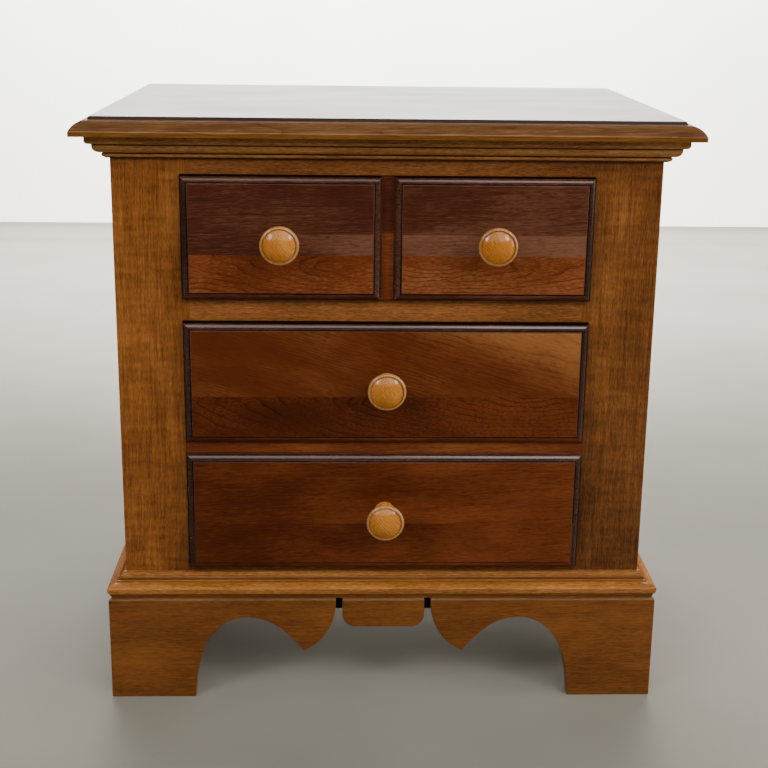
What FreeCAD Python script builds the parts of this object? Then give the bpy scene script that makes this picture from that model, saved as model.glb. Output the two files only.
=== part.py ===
import FreeCAD
import Part
import Sketcher

import math
import os
import re

# Nightstand with two lipped drawers on a bracket base, in millimetres.
# X runs to the right, Y to the back and Z up. The origin is on the floor, under the middle of the
# whole object, knobs included, so the drawers open towards -Y.

DRIVING = {
    # top panel and its moulded edge
    "top_width": 686,
    "top_depth": 457,
    "top_thickness": 20.5,
    "top_overhang": 37,
    "top_edge_width": 18,
    "top_edge_slope": 2,
    "top_edge_step": 2.5,
    "top_edge_bow": 3.2,
    "top_nose_height": 5.4,
    # case and face frame
    "side_thickness": 19,
    "frame_thickness": 20,
    "stile_width": 83,
    "tenon_thickness": 7,
    "tenon_length": 30,
    "tenon_shoulder": 7,
    "upper_opening_height": 126,
    "lower_opening_height": 286,
    "top_reveal": 17.5,
    "middle_reveal": 26,
    "bottom_reveal": 7.5,
    "back_thickness": 6,
    "rabbet_width": 10,
    # crown moulding under the top
    "crown_height": 26,
    "crown_reach": 21,
    "crown_fillet_height": 5.5,
    "crown_bead_height": 3.2,
    "crown_bead_reach": 16.3,
    "crown_bead_bow": 1.1,
    "crown_ovolo_reach": 14.9,
    "crown_quirk": 1.5,
    "crown_ovolo_height": 8.4,
    "crown_ovolo_foot": 7.2,
    "crown_ovolo_bow": 2.2,
    "crown_neck_reach": 5.5,
    "crown_neck_height": 2,
    "crown_toe_reach": 6.8,
    "crown_toe_height": 4.4,
    "crown_toe_foot": 4,
    "crown_toe_bow": 0.9,
    # web frames that carry the drawers, and what holds the top
    "runner_thickness": 20,
    "runner_inside": 28,
    "rear_rail_depth": 50,
    "dust_thickness": 5,
    "dust_groove": 8,
    "guide_width": 30,
    "guide_height": 8,
    "guide_gap": 2,
    "pin_diameter": 6,
    "pin_setback": 20,
    "pin_depth": 6,
    "kicker_thickness": 20,
    "top_screw_diameter": 4.5,
    "top_screw_head": 9,
    "top_screw_head_height": 3,
    "top_screw_length": 48,
    "top_screw_bite": 14,
    "top_screw_inset": 60,
    # base
    "apron_height": 128.5,
    "apron_thickness": 19,
    "apron_round": 3,
    "arch_crown": 25.5,
    "arch_radius": 70,
    "cusp_radius": 60,
    "cusp_drop": 44.5,
    "scroll_width": 40.5,
    "slot_width": 7.8,
    "slot_straight": 4.5,
    "drop_width": 97.4,
    "drop_height": 36.2,
    "drop_corner": 16,
    "side_foot_width": 100,
    "rear_foot_width": 60,
    "rear_bracket_thickness": 19,
    "cleat_height": 22,
    "cleat_thickness": 20,
    "block_width": 35,
    "block_lift": 3,
    "base_moulding_height": 28.5,
    "base_top_flat": 3,
    "base_bead_reach": 5.5,
    "base_bead_height": 6,
    "base_bead_bow": 1.2,
    "base_upper_fillet_reach": 7,
    "base_upper_fillet_height": 3.5,
    "base_lower_fillet_reach": 9.8,
    "base_lower_fillet_height": 1.6,
    "base_moulding_reach": 20,
    "base_ovolo_height": 4.1,
    "base_ovolo_bow": 1.4,
    "base_nose_height": 6.9,
    "base_nose_setback": 1.2,
    "base_nose_bow": 0.3,
    "base_toe_reach": 17.3,
    "base_toe_height": 2.9,
    "base_recess_reach": 16,
    # drawers
    "lip_overlap": 7.5,
    "lip_gap": 0.3,
    "front_proud": 14,
    "front_inset": 10,
    "ledge": 5,
    "edge_radius": 7,
    "edge_flat": 2,
    "panel_gap": 13.5,
    "box_clearance": 2,
    "slide_gap": 0.3,
    "headroom": 8,
    "rear_room": 18,
    "drawer_side_thickness": 12,
    "drawer_back_thickness": 12,
    "drawer_bottom_thickness": 5,
    "bottom_lift": 12,
    "groove_depth": 6,
    "dado_depth": 5,
    "back_inset": 8,
    "tail_length": 8,
    "tail_pitch": 36,
    "tail_waist": 20,
    "tail_flare": 2,
    "saddle_length": 26,
    "saddle_wall": 6,
    "saddle_side_gap": 0.5,
    "saddle_clearance": 1,
    # knobs and their screws
    "knob_diameter": 43,
    "knob_projection": 43,
    "knob_base_diameter": 24.5,
    "knob_flange": 5,
    "knob_neck_diameter": 15,
    "knob_neck_start": 7,
    "knob_rim_depth": 4.5,
    "knob_flare_setback": 3.5,
    "knob_flare_bow": 3.6,
    "knob_rim_setback": 9,
    "knob_rim_bow": 0.98,
    "knob_face_diameter": 35,
    "knob_dome": 4.3,
    "knob_rise": 3,
    "knob_screw_diameter": 4,
    "knob_screw_head": 9,
    "knob_screw_head_height": 2.5,
    "knob_screw_bite": 18,
    "knob_screw_clearance": 0.4,
    # how far a cutter reaches past the face that it cuts
    "cutter_margin": 1,
}

# Places worked out from the driving dimensions.
PLACES = {
    "top_half": "top_width / 2",
    "case_half": "top_half - top_overhang",
    "inner_half": "case_half - side_thickness",
    "opening_half": "case_half - stile_width",
    "foot_half": "case_half + apron_thickness",
    "knob_lead": "max(0; front_proud + knob_projection - top_overhang)",
    "nose": "(knob_lead - top_depth) / 2",
    "case_front": "nose + top_overhang",
    "case_back": "nose + top_depth",
    "frame_back": "case_front + frame_thickness",
    "inner_back": "case_back - back_thickness",
    "apron_front": "case_front - apron_thickness",
    "cleat_low": "apron_height - cleat_height",
    "lower_floor": "apron_height + base_moulding_height + bottom_reveal + lip_overlap",
    "lower_ceiling": "lower_floor + lower_opening_height",
    "upper_floor": "lower_ceiling + middle_reveal + 2 * lip_overlap",
    "upper_ceiling": "upper_floor + upper_opening_height",
    "top_low": "upper_ceiling + lip_overlap + top_reveal + crown_height",
    "runner_back": "inner_back - rear_rail_depth",
    "runner_half": "opening_half - runner_inside",
    "box_half": "opening_half - box_clearance",
    "box_inner_half": "box_half - drawer_side_thickness",
    "box_front": "case_front + front_inset",
    "box_rear": "inner_back - rear_room",
    "drawer_back_rear": "box_rear - back_inset",
    "drawer_back_front": "drawer_back_rear - drawer_back_thickness",
    "face": "case_front - front_proud",
    "lip_half": "opening_half + lip_overlap",
    "arch_top": "apron_height - arch_crown",
    "cusp_height": "arch_top - cusp_drop",
    "cusp_x": "drop_width / 2 + slot_width + scroll_width",
    "arch_x": "cusp_x + sqrt(cusp_radius ^ 2 - (cusp_height - arch_top + cusp_radius) ^ 2)",
    "edge_width": "edge_radius + edge_flat",
}

doc = FreeCAD.newDocument("nightstand")
dims = doc.addObject("Spreadsheet::Sheet", "dims")
for row, (alias, size) in enumerate(DRIVING.items(), start=1):
    dims.set(f"A{row}", alias)
    dims.set(f"B{row}", str(size))
    dims.setAlias(f"B{row}", alias)
doc.recompute()

pieces = []


def bound(text):
    """Write an expression of named sizes and places in terms of the sheet's cells."""

    def cell(match):
        word = match.group(0)
        if word in PLACES:
            return "(" + bound(PLACES[word]) + ")"
        if word in DRIVING:
            return "dims." + word
        return word

    return re.sub(r"[a-z_]+", cell, text)


def number(text):
    return float(dims.evalExpression(bound(text)))


def keep(piece, label):
    """List a finished sub-part under the name of its node."""
    piece.Label = label
    pieces.append(piece)
    return piece


def board(name, across, along, up):
    """A squared board between two places on each axis."""
    box = doc.addObject("Part::Box", name)
    spans = zip(("Length", "Width", "Height"), "xyz", (across, along, up))
    for size, axis, (low, high) in spans:
        box.setExpression(size, bound(f"({high}) - ({low})"))
        box.setExpression(f"Placement.Base.{axis}", bound(low))
    return box


def rod(name, diameter, length, start, turn=None):
    """A round bar from a start point: upwards, or along the Y axis when it is turned about X."""
    bar = doc.addObject("Part::Cylinder", name)
    bar.setExpression("Radius", bound(f"({diameter}) / 2"))
    bar.setExpression("Height", bound(length))
    if turn:
        bar.Placement.Rotation = FreeCAD.Rotation(FreeCAD.Vector(1, 0, 0), turn)
    for axis, place in zip("xyz", start):
        bar.setExpression(f"Placement.Base.{axis}", bound(place))
    return bar


def joined(name, *shapes):
    union = doc.addObject("Part::MultiFuse", name)
    union.Shapes = list(shapes)
    return union


def cut(name, base, *tools):
    """A piece less everything that is let into it."""
    result = doc.addObject("Part::Cut", name)
    result.Base = base
    result.Tool = tools[0] if len(tools) == 1 else joined(name + "_lets", *tools)
    return result


def group(name, *shapes):
    several = doc.addObject("Part::Compound", name)
    several.Links = list(shapes)
    return several


def mirrored(name, source):
    """The same piece on the other side of the middle plane."""
    twin = doc.addObject("Part::Mirroring", name)
    twin.Source = source
    twin.Normal = FreeCAD.Vector(1, 0, 0)
    return twin


def sketch_on(body, role, offset="0"):
    """A sketch on one of a body's own planes, moved along that plane's normal."""
    plane = next(entry for entry in body.Origin.OriginFeatures if entry.Role == role)
    sketch = body.newObject("Sketcher::SketchObject", body.Name + "_sketch")
    sketch.AttachmentSupport = [(plane, "")]
    sketch.MapMode = "FlatFace"
    sketch.setExpression("AttachmentOffset.Base.z", bound(offset))
    return sketch


def arc_between(here, there, radius, turn):
    """An arc under a half circle, with the numbers of its ends in the order of travel."""
    chord = there - here
    rise = math.sqrt(max(radius**2 - (chord.Length / 2) ** 2, 0))
    left = FreeCAD.Vector(-chord.y, chord.x, 0).normalize()
    centre = (here + there) * 0.5 + left * (rise if turn == "left" else -rise)
    first, last = (here, there) if turn == "left" else (there, here)
    begin = math.atan2(first.y - centre.y, first.x - centre.x)
    finish = math.atan2(last.y - centre.y, last.x - centre.x)
    if finish < begin:
        finish += 2 * math.pi
    circle = Part.Circle(centre, FreeCAD.Vector(0, 0, 1), radius)
    ends = (1, 2) if turn == "left" else (2, 1)
    return Part.ArcOfCircle(circle, begin, finish), ends


def outline(sketch, corners):
    """Draw a closed outline. A corner is (x, y), or (x, y, kind, size, turn) where an arc leaves it:
    kind is "radius", or "bow" for the arc's height over its chord."""
    spots = [FreeCAD.Vector(number(corner[0]), number(corner[1]), 0) for corner in corners]
    count = len(corners)
    first = sketch.GeometryCount
    ends = []
    radii = []
    for k, corner in enumerate(corners):
        here, there = spots[k], spots[(k + 1) % count]
        if len(corner) == 2:
            sketch.addGeometry(Part.LineSegment(here, there))
            ends.append((1, 2))
            radii.append(None)
            continue
        x, y, kind, size, turn = corner
        radius = size
        if kind == "bow":
            far = corners[(k + 1) % count]
            chord_square = f"((({far[0]}) - ({x})) ^ 2 + (({far[1]}) - ({y})) ^ 2)"
            radius = f"{chord_square} / (8 * ({size})) + ({size}) / 2"
        edge, order = arc_between(here, there, number(radius), turn)
        sketch.addGeometry(edge)
        ends.append(order)
        radii.append(radius)
    rules = []
    for k, corner in enumerate(corners):
        following = (k + 1) % count
        meet = (first + k, ends[k][1], first + following, ends[following][0])
        rules.append((Sketcher.Constraint("Coincident", *meet), None))
        spot = (first + k, ends[k][0])
        for kind, text, value in zip(("DistanceX", "DistanceY"), corner, spots[k]):
            if value < 0:
                rules.append((Sketcher.Constraint(kind, *spot, -1, 1, -value), f"-({text})"))
            else:
                rules.append((Sketcher.Constraint(kind, -1, 1, *spot, value), text))
        if radii[k]:
            rules.append((Sketcher.Constraint("Radius", first + k, number(radii[k])), radii[k]))
    start = sketch.ConstraintCount
    sketch.addConstraint([rule for rule, text in rules])
    for k, (rule, text) in enumerate(rules, start=start):
        if text:
            sketch.setExpression(f"Constraints[{k}]", bound(text))


def rectangle(low_x, high_x, low_y, high_y):
    return [(low_x, low_y), (high_x, low_y), (high_x, high_y), (low_x, high_y)]


def pad(body, sketch, length, reverse=False, symmetric=False):
    feature = body.newObject("PartDesign::Pad", body.Name + "_pad")
    feature.Profile = sketch
    feature.setExpression("Length", bound(length))
    feature.Reversed = reverse
    if symmetric:
        feature.SideType = "Symmetric"
    return feature


def cut_through(body, sketch):
    """Cut a sketch's outlines right through a body, both ways from the sketch."""
    feature = body.newObject("PartDesign::Pocket", body.Name + "_cut")
    feature.Profile = sketch
    feature.SideType = "Symmetric"
    feature.Type = "ThroughAll"
    return feature


def profile(points, place_x, place_y, flipped):
    """Place a section's corners in a sketch, with its arcs turned over where it is mirrored."""
    other = {"left": "right", "right": "left"}
    corners = []
    for first, second, *arc in points:
        if arc and flipped:
            arc = [arc[0], arc[1], other[arc[2]]]
        corners.append((place_x(first, second), place_y(first, second), *arc))
    return corners


def mitre(reach, keeps_front):
    """The waste beside the left front mitre of a length that stands out from the case by reach."""
    outer_x = f"-case_half - ({reach}) - cutter_margin"
    outer_y = f"case_front - ({reach}) - cutter_margin"
    inner_x = "-case_half + cutter_margin"
    inner_y = "case_front + cutter_margin"
    waste = (outer_x, inner_y) if keeps_front else (inner_x, outer_y)
    return [(outer_x, outer_y), waste, (inner_x, inner_y)]


def turned_about(corners):
    """The same waste at the right-hand end."""
    return [(f"-({x})", y) for x, y in corners]


def front_length(name, section, reach):
    """The front length of a moulding, mitred at both ends."""
    body = doc.addObject("PartDesign::Body", name)
    sketch = sketch_on(body, "YZ_Plane")
    outline(sketch, profile(section, lambda out, up: f"case_front - ({out})", lambda out, up: up, False))
    pad(body, sketch, f"2 * (case_half + ({reach}))", symmetric=True)
    waste = sketch_on(body, "XY_Plane")
    outline(waste, mitre(reach, True))
    outline(waste, turned_about(mitre(reach, True)))
    cut_through(body, waste)
    return body


def side_length(name, section, reach):
    """The left-hand length of a moulding, mitred at its front end."""
    body = doc.addObject("PartDesign::Body", name)
    sketch = sketch_on(body, "XZ_Plane", "-case_back")
    outline(sketch, profile(section, lambda out, up: f"-case_half - ({out})", lambda out, up: up, False))
    pad(body, sketch, f"case_back - case_front + ({reach})")
    waste = sketch_on(body, "XY_Plane")
    outline(waste, mitre(reach, False))
    cut_through(body, waste)
    return body


def upright(name, corners, front, thickness):
    """A board sawn to an outline seen from the front, with its front face at a place on Y."""
    body = doc.addObject("PartDesign::Body", name)
    sketch = sketch_on(body, "XZ_Plane", f"-({front})")
    outline(sketch, corners)
    pad(body, sketch, thickness, reverse=True)
    return body


# Screws that hold the top: up through the kickers, with their heads sunk in the kickers.
screw_x = "box_half - kicker_thickness / 2"
screw_low = "top_low + top_screw_bite - top_screw_length"
front_screw_y = "frame_back + top_screw_inset"
rear_screw_y = "inner_back - kicker_thickness - top_screw_inset"
screws = []
sinkings = []
for side, sign in (("left", "-"), ("right", "")):
    for end, along in (("front", front_screw_y), ("rear", rear_screw_y)):
        spot = (f"{sign}({screw_x})", along)
        shank = rod("screw_shank", "top_screw_diameter", "top_screw_length", (*spot, screw_low))
        head_low = f"{screw_low} - top_screw_head_height"
        head = rod("screw_head", "top_screw_head", "top_screw_head_height", (*spot, head_low))
        screws.append(joined(f"{side}_{end}_top_screw", shank, head))
        well = f"{head_low} - upper_ceiling + cutter_margin"
        sinking = rod("screw_well", "top_screw_head", well, (*spot, "upper_ceiling - cutter_margin"))
        sinkings.append(sinking)
top_screws = keep(group("top_screw_set", *screws), "top_screws")

# Top panel: a solid board whose front and side edges are moulded to a thumb under a sloped step.
top_body = doc.addObject("PartDesign::Body", "top_board")
top_sketch = sketch_on(top_body, "XY_Plane", "top_low")
outline(top_sketch, rectangle("-top_half", "top_half", "nose", "case_back"))
pad(top_body, top_sketch, "top_thickness")
top_edge = [
    ("-cutter_margin", "top_nose_height"),
    ("0", "top_nose_height", "bow", "top_edge_bow", "right"),
    ("top_edge_width", "top_thickness - top_edge_step"),
    ("top_edge_width + top_edge_slope", "top_thickness"),
    ("top_edge_width + top_edge_slope", "top_thickness + cutter_margin"),
    ("-cutter_margin", "top_thickness + cutter_margin"),
]
edge_up = lambda inset, up: f"top_low + ({up})"
front_edge = sketch_on(top_body, "YZ_Plane")
outline(front_edge, profile(top_edge, lambda inset, up: f"nose + ({inset})", edge_up, False))
cut_through(top_body, front_edge)
side_edges = sketch_on(top_body, "XZ_Plane")
outline(side_edges, profile(top_edge, lambda inset, up: f"-top_half + ({inset})", edge_up, False))
outline(side_edges, profile(top_edge, lambda inset, up: f"top_half - ({inset})", edge_up, True))
cut_through(top_body, side_edges)
keep(cut("top_panel_drilled", top_body, top_screws), "top_panel")

# Crown moulding: a fillet rounded to a bead, a quirk, an ovolo, a neck and a small bead at the toe.
crown_low = "top_low - crown_height"
fillet_low = "top_low - crown_fillet_height"
bead_low = f"{fillet_low} - crown_bead_height"
ovolo_high = f"{bead_low} - crown_quirk"
ovolo_low = f"{ovolo_high} - crown_ovolo_height"
toe_high = f"{ovolo_low} - crown_neck_height"
crown_section = [
    ("0", crown_low),
    ("0", "top_low"),
    ("crown_reach", "top_low"),
    ("crown_reach", fillet_low, "bow", "crown_bead_bow", "left"),
    ("crown_bead_reach", bead_low),
    ("crown_ovolo_reach", bead_low),
    ("crown_ovolo_reach", ovolo_high, "bow", "crown_ovolo_bow", "left"),
    ("crown_ovolo_foot", ovolo_low),
    ("crown_neck_reach", ovolo_low),
    ("crown_neck_reach", toe_high),
    ("crown_toe_reach", toe_high, "bow", "crown_toe_bow", "left"),
    ("crown_toe_foot", f"{toe_high} - crown_toe_height"),
    ("crown_toe_foot", crown_low),
]
keep(front_length("crown_front_length", crown_section, "crown_reach"), "crown_front")
crown_left = keep(side_length("crown_left_length", crown_section, "crown_reach"), "crown_left")
keep(mirrored("crown_right_length", crown_left), "crown_right")

# Web frames: runners, a rear rail and a dust panel behind each rail, with a centre guide on top.
# A dowel in each guide stops the drawer before it falls out.
pins = []
dust_panels = {}
for tier in ("upper", "lower"):
    floor = f"{tier}_floor"
    runner_low = f"{floor} - runner_thickness"
    dust_low = f"{floor} - (runner_thickness + dust_thickness) / 2"
    dust_half = "runner_half + dust_groove"
    dust = board(
        f"{tier}_dust_board",
        (f"-({dust_half})", dust_half),
        ("frame_back - dust_groove", "runner_back + dust_groove"),
        (dust_low, f"{dust_low} + dust_thickness"),
    )
    dust_panels[tier] = keep(dust, f"{tier}_dust_panel")
    runner_up = (runner_low, floor)
    blank = board("runner_board", ("-inner_half", "-runner_half"), ("frame_back", "runner_back"), runner_up)
    runner = keep(cut(f"{tier}_runner", blank, dust), f"{tier}_left_runner")
    keep(mirrored(f"{tier}_runner_twin", runner), f"{tier}_right_runner")
    blank = board("rear_rail_board", ("-inner_half", "inner_half"), ("runner_back", "inner_back"), runner_up)
    keep(cut(f"{tier}_web_rail", blank, dust), f"{tier}_rear_rail")
    guide_high = f"{floor} + guide_height"
    pin_high = f"{floor} + slide_gap + bottom_lift - saddle_clearance"
    pin_low = f"{guide_high} - pin_depth"
    pin_spot = ("0", "frame_back + pin_setback", pin_low)
    pin = rod(f"{tier}_pin", "pin_diameter", f"{pin_high} - ({pin_low})", pin_spot)
    pins.append(pin)
    blank = board(
        "guide_board",
        ("-guide_width / 2", "guide_width / 2"),
        ("box_front + guide_gap", "inner_back"),
        (floor, guide_high),
    )
    keep(cut(f"{tier}_guide", blank, pin), f"{tier}_centre_guide")
keep(group("pin_set", *pins), "stop_pins")


# Face frame: rails with stub tenons, and stiles mortised for them.
def rail(name, low, high):
    deep = ("case_front", "frame_back")
    body = board(name + "_body", ("-opening_half", "opening_half"), deep, (low, high))
    reach = "opening_half + tenon_length"
    tenon_front = "case_front + (frame_thickness - tenon_thickness) / 2"
    tenon = board(
        name + "_tenon",
        (f"-({reach})", reach),
        (tenon_front, f"{tenon_front} + tenon_thickness"),
        (f"{low} + tenon_shoulder", f"{high} - tenon_shoulder"),
    )
    return joined(name, body, tenon)


top_rail = keep(rail("top_rail_piece", "upper_ceiling", "top_low"), "top_rail")
middle_blank = rail("middle_rail_piece", "lower_ceiling", "upper_floor")
middle_rail = keep(cut("middle_rail_grooved", middle_blank, dust_panels["upper"]), "middle_rail")
bottom_blank = rail("bottom_rail_piece", "apron_height", "lower_floor")
bottom_rail = keep(cut("bottom_rail_grooved", bottom_blank, dust_panels["lower"]), "bottom_rail")
stile_blank = board(
    "stile_board", ("-case_half", "-opening_half"), ("case_front", "frame_back"), ("apron_height", "top_low")
)
left_stile = keep(cut("stile_mortised", stile_blank, top_rail, middle_rail, bottom_rail), "left_stile")
keep(mirrored("stile_twin", left_stile), "right_stile")

# Side panels, rabbeted for the thin back panel.
back_half = "inner_half + rabbet_width"
back_panel = board(
    "back_board", (f"-({back_half})", back_half), ("inner_back", "case_back"), ("apron_height", "top_low")
)
keep(back_panel, "back_panel")
side_blank = board(
    "side_board", ("-case_half", "-inner_half"), ("frame_back", "case_back"), ("apron_height", "top_low")
)
left_side = keep(cut("side_rabbeted", side_blank, back_panel), "left_side_panel")
keep(mirrored("side_twin", left_side), "right_side_panel")

# Kickers over the upper drawer's sides keep it from tipping and take the screws of the top.
rear_rail_front = "inner_back - kicker_thickness"
kicker_blank = board(
    "kicker_board",
    ("-box_half", "-box_half + kicker_thickness"),
    ("frame_back", rear_rail_front),
    ("upper_ceiling", "top_low"),
)
left_kicker = keep(cut("kicker_drilled", kicker_blank, top_screws, *sinkings), "left_kicker")
keep(mirrored("kicker_twin", left_kicker), "right_kicker")
rear_top_rail = board(
    "rear_top_board",
    ("-inner_half", "inner_half"),
    (rear_rail_front, "inner_back"),
    ("upper_ceiling", "top_low"),
)
keep(rear_top_rail, "rear_top_rail")

# Base moulding: a bead, two fillets, a wide flat ovolo with a rounded nose, and a toe and recess under it.
moulding_high = "apron_height + base_moulding_height"
upper_fillet = f"{moulding_high} - base_bead_height"
lower_fillet = f"{upper_fillet} - base_upper_fillet_height"
base_ovolo_high = f"{lower_fillet} - base_lower_fillet_height"
base_nose_high = f"{base_ovolo_high} - base_ovolo_height"
base_nose_low = f"{base_nose_high} - base_nose_height"
base_toe_low = f"{base_nose_low} - base_toe_height"
base_section = [
    ("0", "apron_height"),
    ("0", moulding_high),
    ("base_top_flat", moulding_high, "bow", "base_bead_bow", "left"),
    ("base_bead_reach", upper_fillet),
    ("base_upper_fillet_reach", upper_fillet),
    ("base_upper_fillet_reach", lower_fillet),
    ("base_lower_fillet_reach", lower_fillet),
    ("base_lower_fillet_reach", base_ovolo_high, "bow", "base_ovolo_bow", "left"),
    ("base_moulding_reach", base_nose_high, "bow", "base_nose_bow", "left"),
    ("base_moulding_reach - base_nose_setback", base_nose_low),
    ("base_toe_reach", base_nose_low),
    ("base_toe_reach", base_toe_low),
    ("base_recess_reach", base_toe_low),
    ("base_recess_reach", "apron_height"),
]
keep(front_length("base_front_length", base_section, "base_moulding_reach"), "base_moulding_front")
base_left = side_length("base_left_length", base_section, "base_moulding_reach")
keep(base_left, "base_moulding_left")
keep(mirrored("base_right_length", base_left), "base_moulding_right")


def rounded_arris(face):
    """The waste off the upper outer edge of an apron whose outer face is at a place in the sketch."""
    past = f"{face} - cutter_margin"
    within = f"{face} + apron_round"
    return [
        (past, "apron_height + cutter_margin"),
        (past, "apron_height - apron_round"),
        (face, "apron_height - apron_round", "radius", "apron_round", "right"),
        (within, "apron_height"),
        (within, "apron_height + cutter_margin"),
    ]


# Front brackets: a foot, an arch that ends in a cusp, and a scroll up to the slot beside the drop.
arch_side = "arch_x + arch_radius"
slot_edge = "drop_width / 2 + slot_width"
scroll_rise = "apron_height - slot_straight - cusp_height"
scroll_radius = f"(scroll_width ^ 2 + ({scroll_rise}) ^ 2) / (2 * scroll_width)"
bracket_outline = [
    ("-foot_half", "0"),
    (f"-({arch_side})", "0"),
    (f"-({arch_side})", "arch_top - arch_radius", "radius", "arch_radius", "right"),
    ("-arch_x", "arch_top", "radius", "cusp_radius", "right"),
    ("-cusp_x", "cusp_height", "radius", scroll_radius, "left"),
    (f"-({slot_edge})", "apron_height - slot_straight"),
    (f"-({slot_edge})", "apron_height"),
    ("-foot_half", "apron_height"),
]
bracket = upright("front_bracket", bracket_outline, "apron_front", "apron_thickness")
bracket_mitre = sketch_on(bracket, "XY_Plane")
outline(bracket_mitre, mitre("apron_thickness", True))
cut_through(bracket, bracket_mitre)
bracket_arris = sketch_on(bracket, "YZ_Plane")
outline(bracket_arris, rounded_arris("apron_front"))
cut_through(bracket, bracket_arris)
keep(bracket, "front_left_bracket")
keep(mirrored("front_bracket_twin", bracket), "front_right_bracket")

# Centre drop between the two slots.
drop_half = "drop_width / 2"
drop_low = "apron_height - drop_height"
drop_outline = [
    (f"-{drop_half}", "apron_height"),
    (f"-{drop_half}", f"{drop_low} + drop_corner", "radius", "drop_corner", "left"),
    (f"-{drop_half} + drop_corner", drop_low),
    (f"{drop_half} - drop_corner", drop_low, "radius", "drop_corner", "left"),
    (drop_half, f"{drop_low} + drop_corner"),
    (drop_half, "apron_height"),
]
drop = upright("drop", drop_outline, "apron_front", "apron_thickness")
drop_arris = sketch_on(drop, "YZ_Plane")
outline(drop_arris, rounded_arris("apron_front"))
cut_through(drop, drop_arris)
keep(drop, "centre_drop")

# Side aprons: one arch between the front foot and the rear foot, mitred to the front brackets.
front_foot = "apron_front + side_foot_width"
rear_foot = "case_back - side_foot_width"
apron_outline = [
    ("apron_front", "0"),
    (front_foot, "0"),
    (front_foot, "arch_top - arch_radius", "radius", "arch_radius", "right"),
    (f"{front_foot} + arch_radius", "arch_top"),
    (f"{rear_foot} - arch_radius", "arch_top", "radius", "arch_radius", "right"),
    (rear_foot, "arch_top - arch_radius"),
    (rear_foot, "0"),
    ("case_back", "0"),
    ("case_back", "apron_height"),
    ("apron_front", "apron_height"),
]
apron = doc.addObject("PartDesign::Body", "side_apron")
apron_sketch = sketch_on(apron, "YZ_Plane", "-foot_half")
outline(apron_sketch, apron_outline)
pad(apron, apron_sketch, "apron_thickness")
apron_mitre = sketch_on(apron, "XY_Plane")
outline(apron_mitre, mitre("apron_thickness", False))
cut_through(apron, apron_mitre)
apron_arris = sketch_on(apron, "XZ_Plane")
outline(apron_arris, rounded_arris("-foot_half"))
cut_through(apron, apron_arris)
keep(apron, "left_apron")
keep(mirrored("side_apron_twin", apron), "right_apron")

# Rear brackets, between the side aprons.
rear_outline = [
    ("-case_half", "0"),
    ("-case_half + rear_foot_width", "0"),
    ("-case_half + rear_foot_width", "arch_top - arch_radius", "radius", "arch_radius", "right"),
    ("-case_half + rear_foot_width + arch_radius", "arch_top"),
    ("-case_half + rear_foot_width + arch_radius", "apron_height"),
    ("-case_half", "apron_height"),
]
rear_bracket_front = "case_back - rear_bracket_thickness"
rear_bracket = upright("rear_bracket", rear_outline, rear_bracket_front, "rear_bracket_thickness")
keep(rear_bracket, "rear_left_bracket")
keep(mirrored("rear_bracket_twin", rear_bracket), "rear_right_bracket")

# Cleats behind the brackets carry the case, and square blocks stiffen the four corners.
cleat_up = ("cleat_low", "apron_height")
cleat_front = ("case_front", "case_front + cleat_thickness")
cleat_rear = (f"{rear_bracket_front} - cleat_thickness", rear_bracket_front)
cleat_along = (cleat_front[1], cleat_rear[0])
full_width = ("-case_half", "case_half")
keep(board("front_cleat", full_width, cleat_front, cleat_up), "front_base_cleat")
keep(board("rear_cleat", full_width, cleat_rear, cleat_up), "rear_base_cleat")
left_edge = ("-case_half", "-case_half + cleat_thickness")
left_cleat = keep(board("left_cleat", left_edge, cleat_along, cleat_up), "left_base_cleat")
keep(mirrored("right_cleat", left_cleat), "right_base_cleat")
block_up = ("block_lift", "cleat_low")
blocks = []
for across in (("-case_half", "-case_half + block_width"), ("case_half - block_width", "case_half")):
    for along in (
        ("case_front", "case_front + block_width"),
        (f"{rear_bracket_front} - block_width", rear_bracket_front),
    ):
        blocks.append(board("corner_block", across, along, block_up))
keep(group("block_set", *blocks), "corner_blocks")


def turned_knob(name, across, up):
    """A turned knob: flange, waist, flared head with a rounded rim and a domed face."""
    rim = "knob_projection - knob_rim_setback"
    face_edge = "knob_projection - knob_dome"
    face_half = "knob_face_diameter / 2"
    dome_radius = f"(({face_half}) ^ 2 + knob_dome ^ 2) / (2 * knob_dome)"
    section = [
        ("0", "0"),
        ("-knob_projection", "0", "radius", dome_radius, "right"),
        (f"-({face_edge})", face_half, "bow", "knob_rim_bow", "right"),
        (f"-({rim})", "knob_diameter / 2", "bow", "knob_rim_bow", "right"),
        (f"-({rim}) + knob_rim_depth", "knob_diameter / 2 - knob_flare_setback", "bow", "knob_flare_bow", "left"),
        ("-knob_neck_start", "knob_neck_diameter / 2"),
        ("-knob_flange", "knob_base_diameter / 2"),
        ("0", "knob_base_diameter / 2"),
    ]
    body = doc.addObject("PartDesign::Body", name)
    sketch = sketch_on(body, "YZ_Plane")
    outline(sketch, section)
    turning = body.newObject("PartDesign::Revolution", name + "_turning")
    turning.Profile = sketch
    turning.ReferenceAxis = (sketch, ["H_Axis"])
    turning.Angle = 360
    for axis, place in zip("xyz", (across, "face", up)):
        body.setExpression(f"Placement.Base.{axis}", bound(place))
    return body


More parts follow.
